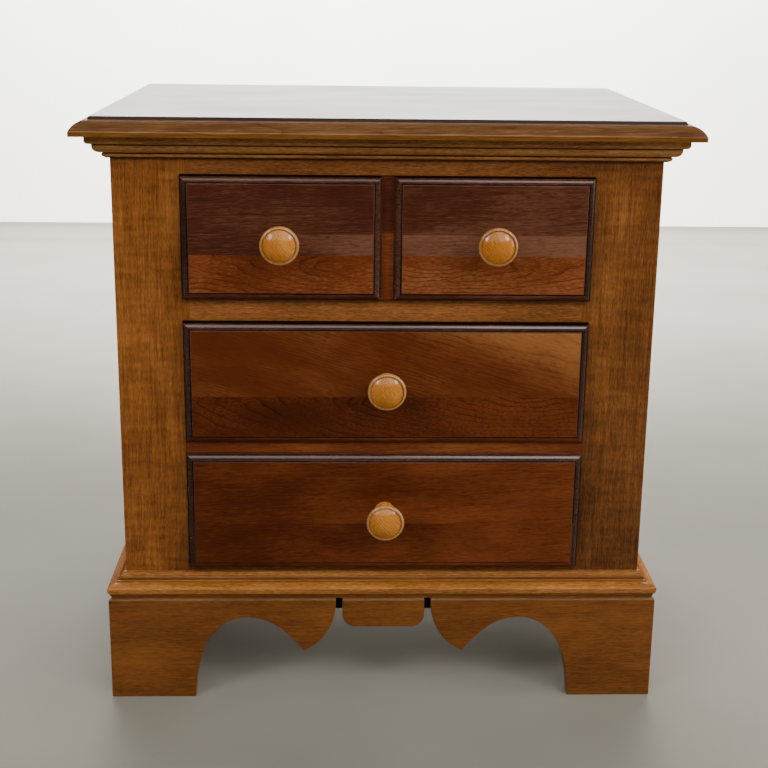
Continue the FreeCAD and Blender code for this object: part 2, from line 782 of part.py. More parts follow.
def drawer_front(tier, floor, ceiling, fields):
    """A lipped front: a thick board rabbeted to enter the opening, with two moulded fields.
    fields gives each field's two limits, across for the upper drawer and up for the lower."""
    low = f"{floor} - lip_overlap"
    high = f"{ceiling} + lip_overlap"
    body = doc.addObject("PartDesign::Body", f"{tier}_front_board")
    lip = sketch_on(body, "XZ_Plane", "-face")
    outline(lip, rectangle("-lip_half", "lip_half", low, high))
    pad(body, lip, "front_proud - lip_gap", reverse=True)
    tongue = sketch_on(body, "XZ_Plane", "-case_front + lip_gap")
    tongue_up = (f"{floor} + slide_gap", f"{ceiling} - box_clearance")
    outline(tongue, rectangle("-box_half", "box_half", *tongue_up))
    pad(body, tongue, "front_inset + lip_gap", reverse=True)
    edge = [
        ("-cutter_margin", "ledge"),
        ("0", "ledge", "radius", "edge_radius", "right"),
        ("edge_radius", "ledge + edge_radius"),
        ("edge_width", "ledge + edge_radius"),
        ("edge_width", "front_proud + cutter_margin"),
        ("-cutter_margin", "front_proud + cutter_margin"),
    ]
    out = lambda inset, proud: f"case_front - ({proud})"
    columns = fields if tier == "upper" else [("-lip_half", "lip_half")]
    rows = fields if tier == "lower" else [(low, high)]
    upright_edges = sketch_on(body, "XY_Plane", low)
    for first, last in columns:
        rising = lambda inset, proud, start=first: f"{start} + ({inset})"
        falling = lambda inset, proud, start=last: f"{start} - ({inset})"
        outline(upright_edges, profile(edge, rising, out, True))
        outline(upright_edges, profile(edge, falling, out, False))
    cut_through(body, upright_edges)
    level_edges = sketch_on(body, "YZ_Plane")
    for first, last in rows:
        rising = lambda inset, proud, start=first: f"{start} + ({inset})"
        falling = lambda inset, proud, start=last: f"{start} - ({inset})"
        outline(level_edges, profile(edge, out, rising, False))
        outline(level_edges, profile(edge, out, falling, True))
    cut_through(body, level_edges)
    strip = sketch_on(body, "XY_Plane" if tier == "upper" else "YZ_Plane")
    floor_out = out("", "ledge")
    ceiling_out = out("", "front_proud + cutter_margin")
    gap = (fields[0][1], fields[1][0])
    if tier == "upper":
        outline(strip, rectangle(*gap, ceiling_out, floor_out))
    else:
        outline(strip, rectangle(ceiling_out, floor_out, *gap))
    cut_through(body, strip)
    return body


def drawer(tier, fields, knobs):
    """A drawer box dovetailed to its front, with knobs named and placed by (name, across, up)."""
    floor = f"{tier}_floor"
    ceiling = f"{tier}_ceiling"
    low = f"{floor} + slide_gap"
    high = f"{ceiling} - headroom"
    bottom_low = f"{low} + bottom_lift"
    bottom_high = f"{bottom_low} + drawer_bottom_thickness"
    bottom_half = "box_inner_half + groove_depth"
    bottom = board(
        f"{tier}_bottom_board",
        (f"-({bottom_half})", bottom_half),
        ("box_front - groove_depth", "drawer_back_rear"),
        (bottom_low, bottom_high),
    )
    keep(bottom, f"{tier}_drawer_bottom")
    back_reach = "box_inner_half + dado_depth"
    back = board(
        f"{tier}_back_board",
        (f"-({back_reach})", back_reach),
        ("drawer_back_front", "drawer_back_rear"),
        (bottom_high, high),
    )
    keep(back, f"{tier}_drawer_back")

    tails = max(2, round(number(f"({high} - ({low})) / tail_pitch")))
    side_outline = [("box_front", low), ("box_rear", low), ("box_rear", high), ("box_front", high)]
    for k in reversed(range(tails)):
        middle = f"{low} + ({high} - ({low})) * {(k + 0.5) / tails}"
        side_outline += [
            ("box_front", f"{middle} + tail_waist / 2"),
            ("box_front - tail_length", f"{middle} + tail_waist / 2 + tail_flare"),
            ("box_front - tail_length", f"{middle} - tail_waist / 2 - tail_flare"),
            ("box_front", f"{middle} - tail_waist / 2"),
        ]
    side_body = doc.addObject("PartDesign::Body", f"{tier}_side_board")
    side_sketch = sketch_on(side_body, "YZ_Plane", "-box_half")
    outline(side_sketch, side_outline)
    pad(side_body, side_sketch, "drawer_side_thickness")
    left = keep(cut(f"{tier}_side_grooved", side_body, bottom, back), f"{tier}_drawer_left_side")
    right = keep(mirrored(f"{tier}_side_twin", left), f"{tier}_drawer_right_side")

    holes = []
    screws = []
    for name, across, up in knobs:
        through = "front_inset + front_proud"
        spot = (across, "box_front", up)
        wide = "knob_screw_diameter + knob_screw_clearance"
        holes.append(rod(name + "_hole", wide, through, spot, turn=90))
        shank_length = f"{through} + knob_screw_bite"
        shank = rod(name + "_shank", "knob_screw_diameter", shank_length, spot, turn=90)
        head_spot = (across, "box_front + knob_screw_head_height", up)
        head = rod(name + "_head", "knob_screw_head", "knob_screw_head_height", head_spot, turn=90)
        screws.append(joined(name + "_screw", shank, head))
        keep(cut(name + "_drilled", turned_knob(name + "_turned", across, up), shank), name)
    keep(group(f"{tier}_screw_set", *screws), f"{tier}_knob_screws")
    front = drawer_front(tier, floor, ceiling, fields)
    keep(cut(f"{tier}_front_cut", front, left, right, bottom, *holes), f"{tier}_drawer_front")

    leg = "guide_width / 2 + saddle_side_gap"
    outer = f"{leg} + saddle_wall"
    leg_low = f"{floor} + saddle_clearance"
    plate_low = f"{floor} + guide_height + saddle_clearance"
    saddle_outline = [
        (f"-({outer})", leg_low),
        (f"-({leg})", leg_low),
        (f"-({leg})", plate_low),
        (leg, plate_low),
        (leg, leg_low),
        (outer, leg_low),
        (outer, bottom_low),
        (f"-({outer})", bottom_low),
    ]
    saddle_front = "drawer_back_rear - saddle_length"
    saddle = upright(f"{tier}_saddle", saddle_outline, saddle_front, "saddle_length")
    keep(saddle, f"{tier}_drawer_saddle")


# Upper drawer: two fields side by side, each with a knob at its middle.
strip_half = "panel_gap / 2"
upper_fields = [("-lip_half", f"-{strip_half}"), (strip_half, "lip_half")]
knob_across = f"(lip_half + {strip_half}) / 2"
upper_middle = "(upper_floor + upper_ceiling) / 2"
upper_knobs = [
    ("upper_left_knob", f"-({knob_across})", upper_middle),
    ("upper_right_knob", knob_across, upper_middle),
]
drawer("upper", upper_fields, upper_knobs)

# Lower drawer: two fields one above the other, each with a knob a little above its middle.
lower_middle = "(lower_floor + lower_ceiling) / 2"
lip_low = "lower_floor - lip_overlap"
lip_high = "lower_ceiling + lip_overlap"
lower_fields = [(lip_low, f"{lower_middle} - {strip_half}"), (f"{lower_middle} + {strip_half}", lip_high)]
knob_offset = f"(lower_opening_height / 2 + lip_overlap + {strip_half}) / 2"
lower_knobs = [
    ("lower_top_knob", "0", f"{lower_middle} + {knob_offset} + knob_rise"),
    ("lower_bottom_knob", "0", f"{lower_middle} - {knob_offset} + knob_rise"),
]
drawer("lower", lower_fields, lower_knobs)

doc.recompute()
faults = [entry.Label for entry in doc.Objects if {"Invalid", "Error"} & set(entry.State)]
faults += [piece.Label for piece in pieces if piece.Shape.isNull() or not piece.Shape.isValid()]
if faults:
    raise SystemExit("faulty: " + ", ".join(sorted(set(faults))))

os.makedirs("parts", exist_ok=True)
for piece in pieces:
    piece.Shape.exportStep(f"parts/{piece.Label}.step")
travel = number("drawer_back_rear - saddle_length - frame_back - pin_setback - pin_diameter / 2")
print(len(pieces), "pieces; drawer travel up to the stop pin", round(travel, 2))
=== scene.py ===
import math

import bmesh
import bpy
from mathutils import Matrix, Vector


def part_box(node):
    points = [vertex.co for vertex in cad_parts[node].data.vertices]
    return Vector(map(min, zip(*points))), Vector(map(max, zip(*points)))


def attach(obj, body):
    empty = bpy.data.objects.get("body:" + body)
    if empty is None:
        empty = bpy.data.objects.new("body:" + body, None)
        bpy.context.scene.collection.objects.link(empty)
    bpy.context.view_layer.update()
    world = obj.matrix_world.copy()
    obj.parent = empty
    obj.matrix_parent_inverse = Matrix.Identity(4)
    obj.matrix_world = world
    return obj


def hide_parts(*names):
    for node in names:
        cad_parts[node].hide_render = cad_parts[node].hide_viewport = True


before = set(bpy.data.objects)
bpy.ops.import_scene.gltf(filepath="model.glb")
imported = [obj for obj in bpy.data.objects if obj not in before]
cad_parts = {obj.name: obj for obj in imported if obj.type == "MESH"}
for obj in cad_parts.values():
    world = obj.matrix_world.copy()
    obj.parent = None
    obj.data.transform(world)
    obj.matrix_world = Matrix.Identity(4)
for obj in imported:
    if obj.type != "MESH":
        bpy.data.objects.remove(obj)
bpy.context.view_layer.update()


# Face frame and case sides: flat boards of a fine-pored hardwood, stained brown and lacquered. The
# rails are tenoned into the stiles and the sides are glued behind them, so these solids keep their
# shape, and their arrises are eased as sandpaper leaves them.
def linear(tone):
    """An sRGB hex colour as the linear colour that shaders take."""
    parts = [int(tone[k:k + 2], 16) / 255 for k in (1, 3, 5)]
    return (*[c / 12.92 if c <= 0.04045 else ((c + 0.055) / 1.055) ** 2.4 for c in parts], 1)


def add(tree, kind, inputs=(), stops=(), **settings):
    """Add a node, with its settings, its inputs set or linked, and a ramp's stops of (place, hex)."""
    node = tree.nodes.new("ShaderNode" + kind)
    for name, value in settings.items():
        setattr(node, name, value)
    for name, value in dict(inputs).items():
        if isinstance(value, bpy.types.NodeSocket):
            tree.links.new(value, node.inputs[name])
        else:
            node.inputs[name].default_value = value
    for number, (place, tone) in enumerate(stops):
        if number > 1:
            node.color_ramp.elements.new(place)
        stop = node.color_ramp.elements[number]
        stop.position = place
        stop.color = linear(tone)
    return node


def new_material(name):
    """An empty material, and the node tree to fill."""
    material = bpy.data.materials.new(name)
    material.use_nodes = True
    material.node_tree.nodes.clear()
    return material, material.node_tree


def wood(name, grain, heart, tones, rings, sway=14, late=0.2, fibre=1.0, streak=0.5, cloud=0.8, pore=0.1,
         curl=0.0, fleck=(9, 1.2), boards=(), tone_slope=None, rough=(0.3, 0.45), coat=0.0, shine=0.2):
    """Sawn wood. grain is the way the trunk lay and heart a point in its pith, in millimetres. tones go
    from dark to light. rings is the spacing of the growth rings and sway how far they wander. late,
    fibre, streak, cloud, pore and curl are how much late wood, short fibres, long streaks, cloudy stain,
    open pores and ripples across the grain change the tone. fleck is how long and wide a fibre shows.
    boards has a row for each glue line: its axis, its place, the shift in the trunk to the next board,
    and how much lighter that board is. The last argument is a direction, where along it a change of tone
    starts and is full, and its lift: sapwood on one board, and painted light and shade on others.
    Real pores are finer than a pixel here, so they are drawn about 1 mm wide."""
    # How long each pattern is along the grain and how wide across it, in millimetres, and its detail.
    patterns = {
        "wander": (120, 42, 2), "fade": (70, 22, 1), "fibre": (*fleck, 2), "streak": (70, 1.8, 2),
        "cloud": (150, 55, 2), "ripple": (7, 34, 1), "pore": (8, 0.9, 0),
    }
    # Late wood is the thin last part of a ring. On average it takes a twelfth of late off the tone.
    ring_power = 8
    ring_part = 12
    material, tree = new_material(name)
    stock = add(tree, "TexCoord").outputs["Object"]
    sides = add(tree, "SeparateXYZ", {0: stock})
    place = stock
    level = 0.5 + late / ring_part - (fibre + streak + cloud + curl) / 2
    for axis, edge, shift, lighter in boards:
        past = {0: sides.outputs[axis], 1: edge / 1000}
        past = add(tree, "Math", past, operation="GREATER_THAN").outputs[0]
        place = {0: past, 1: Vector(shift) / 1000, 2: place}
        place = add(tree, "VectorMath", place, operation="MULTIPLY_ADD").outputs[0]
        level = add(tree, "Math", {0: past, 1: lighter, 2: level}, operation="MULTIPLY_ADD").outputs[0]
    turn = Vector((1, 0, 0)).rotation_difference(Vector(grain)).to_euler()
    lie = {"Vector": place, "Location": Vector(heart) / 1000, "Rotation": turn, "Scale": [0.001] * 3}
    trunk = add(tree, "Mapping", lie, vector_type="TEXTURE").outputs[0]
    noise = {}
    for pattern, (long, wide, detail) in patterns.items():
        drawn_out = {"Vector": trunk, "Scale": (1 / long, 1 / wide, 1 / wide)}
        stretched = add(tree, "Mapping", drawn_out).outputs[0]
        speckle = {"Vector": stretched, "Scale": 1, "Detail": detail, "Roughness": 0.6}
        noise[pattern] = add(tree, "TexNoise", speckle).outputs
    wander = add(tree, "VectorMath", {0: noise["wander"]["Color"], 1: (-0.5, -0.5, -0.5)}).outputs[0]
    bent = {0: wander, 1: (0, sway, sway), 2: trunk}
    bent = add(tree, "VectorMath", bent, operation="MULTIPLY_ADD").outputs[0]
    # At a scale of pi / 10 the wave texture makes one ring for each unit.
    ring = {"Vector": bent, "Scale": math.pi / 10 / rings}
    ring = add(tree, "TexWave", ring, wave_type="RINGS", rings_direction="X", wave_profile="SAW")
    ring = add(tree, "Math", {0: ring.outputs["Fac"], 1: ring_power}, operation="POWER").outputs[0]
    fade = noise["fade"]["Fac"]
    fade = {"Value": fade, "From Min": 0.4, "From Max": 0.62, "To Min": 0.15, "To Max": 1}
    fade = add(tree, "MapRange", fade).outputs[0]
    ring = add(tree, "Math", {0: ring, 1: fade}, operation="MULTIPLY").outputs[0]
    fibres = noise["fibre"]["Fac"]
    clouds = noise["cloud"]["Fac"]
    ticks = noise["pore"]["Fac"]
    ticks = {"Value": ticks, "From Min": 0.26, "From Max": 0.4, "To Min": 1, "To Max": 0}
    ticks = add(tree, "MapRange", ticks).outputs[0]
    parts = [
        (ring, -late), (fibres, fibre), (noise["streak"]["Fac"], streak), (clouds, cloud),
        (noise["ripple"]["Fac"], curl), (ticks, -pore),
    ]
    if tone_slope:
        direction, start, full, lift = tone_slope
        outward = {0: stock, 1: direction}
        outward = add(tree, "VectorMath", outward, operation="DOT_PRODUCT").outputs["Value"]
        paler = {"Value": outward, "From Min": start / 1000, "From Max": full / 1000}
        parts.append((add(tree, "MapRange", paler, interpolation_type="SMOOTHSTEP").outputs[0], lift))
    shade = level
    for part, share in parts:
        shade = add(tree, "Math", {0: part, 1: share, 2: shade}, operation="MULTIPLY_ADD").outputs[0]
    stops = list(zip((0, 0.5, 1), tones))
    colour = add(tree, "ValToRGB", {"Fac": shade}, stops=stops).outputs[0]
    matt = {"Value": clouds, "From Min": 0.3, "From Max": 0.7, "To Min": rough[0], "To Max": rough[1]}
    matt = add(tree, "MapRange", matt).outputs[0]
    relief = add(tree, "Bump", {"Strength": 0.15, "Distance": 0.0003, "Height": fibres}).outputs[0]
    surface = {"Base Color": colour, "Roughness": matt, "Normal": relief, "Coat Weight": coat,
               "Coat Roughness": 0.1, "Specular IOR Level": shine}
    surface = add(tree, "BsdfPrincipled", surface).outputs[0]
    add(tree, "OutputMaterial", {"Surface": surface})
    return material


def finished_node(node, material, arris=0.4):
    """Give a solid its wood or other material, and ease its arrises by so many millimetres."""
    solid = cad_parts[node]
    solid.material_slots[0].material = material
    skin = solid.modifiers.new("one_skin", "WELD")
    skin.merge_threshold = 0.00001
    whole = solid.modifiers.new("whole_faces", "DECIMATE")
    whole.decimate_type = "DISSOLVE"
    whole.angle_limit = math.radians(1)
    ease = solid.modifiers.new("eased_arrises", "BEVEL")
    ease.width = arris / 1000
    ease.segments = 2
    ease.limit_method = "ANGLE"
    ease.angle_limit = math.radians(30)


# Stained hardwood under a satin lacquer: warm short fibres with soft ripples across the stiles, painted
# darker towards the floor as shade, most of all on the right, and one plain run of grain along each rail.
BROWN = ("#4b260c", "#7d491d", "#a5672f")
brown_grain = dict(tones=BROWN, rings=6, late=0.2, fibre=1.4, streak=0.6, pore=0.12, fleck=(7, 1.1))
stile_grain = dict(brown_grain, fleck=(6, 0.8), fibre=1.1, streak=0.9, pore=0.06, curl=0.5)
left_stile_wood = wood("brown_stained_left_stile", (0.01, 0.02, 1), (-180, -60, 0), **stile_grain,
                       tone_slope=((0, 0, 1), 330, 120, -0.1))
RIGHT_STILE = ("#41220b", "#6e4019", "#965e2b")
right_stile_wood = wood("brown_stained_right_stile", (0.01, 0.02, 1), (240, -90, 700),
                        **dict(stile_grain, tones=RIGHT_STILE), tone_slope=((0, 0, 1), 430, 160, -0.34))
RAIL = ("#4a260e", "#7a4820", "#a26633")
# The top rail's board is painted darker, as the shade under the top and crown.
rail_wood = wood("brown_stained_rail", (1, 0.03, 0.01), (60, -130, 700), **dict(brown_grain, tones=RAIL),
                 boards=[(2, 300, (400, 8, 30), 0.08), (2, 560, (300, 11, -40), -0.12)])
# Each side is three boards with longer fibres, so its tone steps a little at the glue lines.
side_grain = dict(brown_grain, fleck=(26, 1.2), fibre=0.9, streak=0.8, cloud=0.6)
side_boards = [(0, 0, (-640, 90, 500), 0), (1, -40, (8, 70, 300), 0.06), (1, 95, (-6, 90, 500), -0.1)]
side_wood = wood("brown_stained_side", (0.02, 0.01, 1), (-300, -120, 100), **side_grain, boards=side_boards)
finished_node("left_stile", left_stile_wood)
finished_node("right_stile", right_stile_wood)
for node in ("top_rail", "middle_rail", "bottom_rail"):
    finished_node(node, rail_wood)
for node in ("left_side_panel", "right_side_panel"):
    finished_node(node, side_wood)


# Web frames, guides, kickers, cleats and glue blocks: square boards of planed poplar, screwed and glued,
# whose solids have the right shape. Bare poplar looks pale and dull, with wide soft rings and hardly any
# pores. The front cleat is painted black as the shade in the slots beside the drop.
POPLAR = ("#8f7a4c", "#bfa674", "#d8c79c")
poplar_grain = dict(tones=POPLAR, rings=7, sway=10, late=0.4, fibre=0.5, cloud=0.7, pore=0.02,
                    rough=(0.55, 0.7))
poplar_along = wood("planed_poplar_lengthwise", (0.01, 1, 0.015), (0, 0, 330), **poplar_grain)
poplar_across = wood("planed_poplar_crosswise", (1, 0.012, 0.01), (0, 150, 330), **poplar_grain)
poplar_up = wood("planed_poplar_upright", (0.01, 0.01, 1), (40, 20, 60), **poplar_grain)
for tier in ("upper", "lower"):
    for node in (f"{tier}_left_runner", f"{tier}_right_runner", f"{tier}_centre_guide"):
        finished_node(node, poplar_along)
    finished_node(f"{tier}_rear_rail", poplar_across)
for node in ("left_kicker", "right_kicker", "left_base_cleat", "right_base_cleat"):
    finished_node(node, poplar_along)
for node in ("rear_top_rail", "rear_base_cleat"):
    finished_node(node, poplar_across)
for node in ("corner_blocks", "stop_pins"):
    finished_node(node, poplar_up)
BLACK = ("#050302", "#0c0705", "#1a110b")
# The front cleat is painted near-black as shade, so that it does not show in the slots.
finished_node("front_base_cleat", wood("poplar_painted_black_as_shade", (1, 0.012, 0.01), (0, 150, 330),
                                       **dict(poplar_grain, tones=BLACK)))


# Dust panels and back panel: thin plywood with a plain rotary-cut face, sanded and left bare. The dust
# panels lie in grooves of the web frames, and the back is let into rabbets of the sides.
# Peeled veneer shows wide rings that wander like contour lines, sanded dull.
PLY = ("#8c6a3f", "#b8925f", "#d3b486")
ply_grain = dict(tones=PLY, rings=26, sway=46, late=0.5, fibre=0.5, cloud=0.5, pore=0.08, rough=(0.5, 0.65))
back_ply = wood("sanded_plywood_back", (0.03, 0.05, 1), (70, 300, 300), **ply_grain)
dust_ply = wood("sanded_plywood_dust_panel", (0.05, 1, 0.03), (-60, 0, 420), **ply_grain)
finished_node("back_panel", back_ply)
for tier in ("upper", "lower"):
    finished_node(f"{tier}_dust_panel", dust_ply)


# Bracket base: front brackets with an arch, a cusp and a scroll, a drop between them, arched side aprons
# mitred to the brackets, all sawn from the same brown-stained boards. The plain rear brackets are poplar.
def drawn(corners, closed=True):
    """Draw from corner to corner in the XY plane: (x, y), or (x, y, bow) where the next stretch is an arc
    that bows out by so much to the left of the way it is drawn, or to the right if bow is below zero."""
    bm = bmesh.new()
    pen = bm.verts.new((*corners[0][:2], 0))
    for here, there in zip(corners, corners[1:] + corners[:1] if closed else corners[1:]):
        start = Vector((*here[:2], 0))
        end = Vector((*there[:2], 0))
        if len(here) == 2:
            pen = bmesh.ops.extrude_vert_indiv(bm, verts=[pen])["verts"][0]
            pen.co = end
            continue
        chord = end - start
        bow = abs(here[2])
        radius = chord.length_squared / 8 / bow + bow / 2
        left = Vector((-chord.y, chord.x, 0)).normalized() * math.copysign(1, here[2])
        centre = (start + end) / 2 + left * (bow - radius)
        angle = 2 * math.asin(chord.length / 2 / radius)
        # A wide arc gets more steps for its angle than a tight one, and none gets fewer than three.
        steps = max(3, math.ceil(angle * max(radius, 4) ** 0.5 * 3))
        turn = -math.copysign(angle, here[2])
        spun = bmesh.ops.spin(bm, geom=[pen], cent=centre, axis=(0, 0, 1), angle=turn, steps=steps)
        pen = next(part for part in spun["geom_last"] if isinstance(part, bmesh.types.BMVert))
    if closed:
        bmesh.ops.remove_doubles(bm, verts=bm.verts, dist=0.001)
        bmesh.ops.contextual_create(bm, geom=bm.edges[:])
    return bm


def thickened(bm, length, across, up, along, start):
    """Extrude a drawn face to a length, and set it up with its own x, y and z along three directions."""
    grown = bmesh.ops.extrude_face_region(bm, geom=bm.faces[:])["geom"]
    far = [part for part in grown if isinstance(part, bmesh.types.BMVert)]
    bmesh.ops.translate(bm, vec=(0, 0, length), verts=far)
    frame_of = Matrix((across, up, along)).transposed().to_4x4()
    bmesh.ops.transform(bm, matrix=Matrix.Translation(start) @ frame_of, verts=bm.verts)
    bmesh.ops.recalc_face_normals(bm, faces=bm.faces)


def mitred(bm, corner, waste):
    """Saw off what lies past an upright plane through a corner, and close the cut."""
    whole = bm.verts[:] + bm.edges[:] + bm.faces[:]
    sawn = bmesh.ops.bisect_plane(bm, geom=whole, dist=0.001, plane_co=corner, plane_no=waste,
                                  clear_outer=True)
    edges = [part for part in sawn["geom_cut"] if isinstance(part, bmesh.types.BMEdge)]
    bmesh.ops.contextual_create(bm, geom=edges)
    bmesh.ops.recalc_face_normals(bm, faces=bm.faces)


def eased(bm, width, chosen=None, segments=2):
    """Round the arrises, or only those chosen by a test of their two ends."""
    least_angle = math.radians(28)
    bm.normal_update()
    sharp = []
    for edge in bm.edges:
        if len(edge.link_faces) == 2 and edge.calc_face_angle() > least_angle:
            if chosen is None or chosen(*[vert.co for vert in edge.verts]):
                sharp.append(edge)
    bmesh.ops.bevel(bm, geom=sharp, offset=width, offset_type="OFFSET", affect="EDGES", segments=segments,
                    profile=0.5, material=-1, clamp_overlap=True)


def piece(name, bm, body, slot, materials, *nodes, crease=34):
    """Finish a bmesh in millimetres as a piece that rides on a body and stands for CAD nodes. Edges that
    turn by more than the crease, in degrees, stay sharp."""
    bmesh.ops.scale(bm, vec=(0.001, 0.001, 0.001), verts=bm.verts)
    bmesh.ops.recalc_face_normals(bm, faces=bm.faces)
    mesh = bpy.data.meshes.new(name)
    bm.to_mesh(mesh)
    bm.free()
    for material in materials:
        mesh.materials.append(material)
    mesh.shade_smooth()
    mesh.set_sharp_from_angle(angle=math.radians(crease))
    made = bpy.data.objects.new(name, mesh)
    bpy.context.scene.collection.objects.link(made)
    level = made.modifiers.new("even_shading", "WEIGHTED_NORMAL")
    level.keep_sharp = True
    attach(made, body)
    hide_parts(*nodes)
    return made


def span(node):
    """A CAD node's lowest and highest corners in millimetres."""
    low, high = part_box(node)
    return low * 1000, high * 1000


RIGHT, BACK, UP = Vector((1, 0, 0)), Vector((0, 1, 0)), Vector((0, 0, 1))
case_half = span("right_stile")[1].x
case_front = span("left_stile")[0].y
case_back = span("left_side_panel")[1].y
APRON = span("left_apron")[1].z
APRON_THICK = 19
APRON_ROUND = 3
ROUND_STEPS = 6
SAWN_EASE = 0.7
ARCH_TOP = 103
ARCH_SPRING = 33
ARCH_RUN = 70
QUARTER_BOW = 20.5
SIDE_FOOT = 100
REAR_FOOT = 60
NEAR = 0.1
foot_half = case_half + APRON_THICK
apron_front = case_front - APRON_THICK
# Sawn boards in the same stain: darker and quieter than the frame, and each board of its own tone. Their top
# arris has a paler, greyer line painted on as a highlight.
BRACKET = ("#3d1d09", "#6c3e17", "#905824")
bracket_grain = dict(brown_grain, tones=BRACKET, fibre=0.9, streak=0.5, fleck=(11, 0.9))
base_front_wood = wood("brown_stained_bracket", (1, 0.02, 0.02), (30, -290, 50), **bracket_grain,
                       boards=[(0, -52, (500, 12, 31), 0.06), (0, 52, (-700, 20, 12), -0.08)])
base_side_wood = wood("brown_stained_apron", (0.02, 1, 0.02), (-350, 30, 20), **bracket_grain,
                      boards=[(0, 0, (-690, 300, 12), 0)])
# A paler, greyer brown painted on the top arris as a highlight.
LEDGE_HIGHLIGHT = ("#452a15", "#6a4a2c", "#866846")
ledge_painted_highlight = wood("brown_stained_ledge_painted_highlight", (1, 0.02, 0.02), (30, -290, 50), LEDGE_HIGHLIGHT, 6)


def highlight_arris(bm):
    """Paint a paler, greyer highlight along the rounded top arris."""
    bm.normal_update()
    for face in bm.faces:
        if face.calc_center_median().z > APRON - 1.05 * APRON_ROUND and 0.2 < face.normal.z < 0.97:
            face.material_index = 1


def front_arris(a, b):
    """Whether an edge between two ends is the top arris of the front."""
    return min(a.z, b.z) > APRON - NEAR and max(a.y, b.y) < apron_front + NEAR


def side_arris(a, b):
    """Whether an edge between two ends is the top arris of an outer side."""
    return min(a.z, b.z) > APRON - NEAR and min(abs(a.x), abs(b.x)) > foot_half - NEAR


for side, way in (("left", -1), ("right", 1)):
    # From the floor round the arch, down to the cusp, and up the scroll to the slot beside the drop.
    bracket = drawn([
        (foot_half, 0), (225, 0, -2.6), (213.7, 63, -3.1), (189, 96.6, -2), (163, 104.5, -4.3),
        (120, 88, -0.85), (94.5, 60.5, 10.9), (56.5, 124), (56.5, APRON), (foot_half, APRON),
    ])
    thickened(bracket, APRON_THICK, RIGHT * way, UP, BACK, (0, apron_front, 0))
    mitred(bracket, (way * case_half, case_front, 0), (way, 1, 0))
    eased(bracket, APRON_ROUND, front_arris, ROUND_STEPS)
    eased(bracket, SAWN_EASE)
    highlight_arris(bracket)
    piece(f"{side}_bracket_foot", bracket, "case", "brown_hardwood", [base_front_wood, ledge_painted_highlight],
          f"front_{side}_bracket")

    front_foot = apron_front + SIDE_FOOT
    back_foot = case_back - SIDE_FOOT
    apron = drawn([
        (apron_front, 0), (front_foot, 0), (front_foot, ARCH_SPRING, QUARTER_BOW),
        (front_foot + ARCH_RUN, ARCH_TOP), (back_foot - ARCH_RUN, ARCH_TOP, QUARTER_BOW),
        (back_foot, ARCH_SPRING), (back_foot, 0), (case_back, 0), (case_back, APRON), (apron_front, APRON),
    ])
    thickened(apron, APRON_THICK, BACK, UP, -RIGHT * way, (way * foot_half, 0, 0))
    mitred(apron, (way * case_half, case_front, 0), (-way, -1, 0))
    eased(apron, APRON_ROUND, side_arris, ROUND_STEPS)
    eased(apron, SAWN_EASE)
    highlight_arris(apron)
    piece(f"{side}_arched_apron", apron, "case", "brown_hardwood", [base_side_wood, ledge_painted_highlight],
          f"{side}_apron")

    rear_foot = case_half - REAR_FOOT
    rear = drawn([
        (case_half, 0), (rear_foot, 0), (rear_foot, ARCH_SPRING, -QUARTER_BOW),
        (rear_foot - ARCH_RUN, ARCH_TOP), (rear_foot - ARCH_RUN, APRON), (case_half, APRON),
    ])
    thickened(rear, APRON_THICK, RIGHT * way, UP, -BACK, (0, case_back, 0))
    eased(rear, SAWN_EASE)
    piece(f"{side}_rear_foot", rear, "case", "poplar", [poplar_across], f"rear_{side}_bracket")

drop = drawn([
    (-48.7, APRON), (-48.7, 108.3, -4.69), (-32.7, 92.3), (32.7, 92.3, -4.69), (48.7, 108.3), (48.7, APRON),
])
thickened(drop, APRON_THICK, RIGHT, UP, BACK, (0, apron_front, 0))
eased(drop, APRON_ROUND, front_arris, ROUND_STEPS)
eased(drop, SAWN_EASE)
highlight_arris(drop)
piece("drop_tablet", drop, "case", "brown_hardwood", [base_front_wood, ledge_painted_highlight], "centre_drop")


# Base moulding and crown moulding: lengths run with a cutter, mitred at the front corners and glued to the
# case. The base has a bead, two fillets and a wide ovolo with a nose, the crown a bead, an ovolo and a
# toe. The crown's quirks are painted near-black as shade.
MOULDING_EASE = 0.3
# Painted shade in a quirk: a near-black line that sets off the members beside it.
QUIRK_SHADE = ("#140a05", "#2a160b", "#4a2c16")
quirk_painted_shade = wood("painted_shade_in_quirks", (1, 0.01, 0.01), (0, -200, 500), QUIRK_SHADE, 6, rough=(0.4, 0.55))


def moulded_lengths(title, section, shades, low, front_kinds, side_kinds, nodes):
    """Run a section of (out, up) along the front and both sides of the case. shades are boxes of the
    section, (least out, most out, least up, most up, kind), with another kind of finish than the first."""
    reach = max(corner[0] for corner in section)
    half = case_half + reach
    run = case_back - case_front + reach
    lengths = [("front", 0, RIGHT, -BACK, (-half, case_front, low), 2 * half)]
    for side, way in (("left", -1), ("right", 1)):
        lengths.append((side, way, BACK, RIGHT * way, (way * case_half, case_front - reach, low), run))
    for side, way, along, out, start, long in lengths:
        length = drawn(section)
        thickened(length, long, out, UP, along, start)
        if way:
            mitred(length, (way * case_half, case_front, 0), (-way, -1, 0))
        else:
            mitred(length, (case_half, case_front, 0), (1, 1, 0))
            mitred(length, (-case_half, case_front, 0), (-1, 1, 0))
        eased(length, MOULDING_EASE)
        for face in length.faces:
            middle = face.calc_center_median()
            spot = (way * middle.x - case_half if way else case_front - middle.y, middle.z - low)
            for out_low, out_high, up_low, up_high, kind in shades:
                if out_low < spot[0] < out_high and up_low < spot[1] < up_high:
                    face.material_index = kind
        kinds = side_kinds if way else front_kinds
        piece(f"{title}_{side}_length", length, "case", "brown_hardwood", kinds, f"{nodes}_{side}")


base_section = [
    (0, 0), (0, 28.5), (3, 28.5, 1.2), (5.5, 22.5), (7, 22.5), (7, 19), (9.8, 19), (9.8, 17.4, 1.4),
    (20, 13.3, 0.3), (18.8, 6.4), (17.3, 6.4), (17.3, 3.5), (16, 3.5), (16, 0),
]
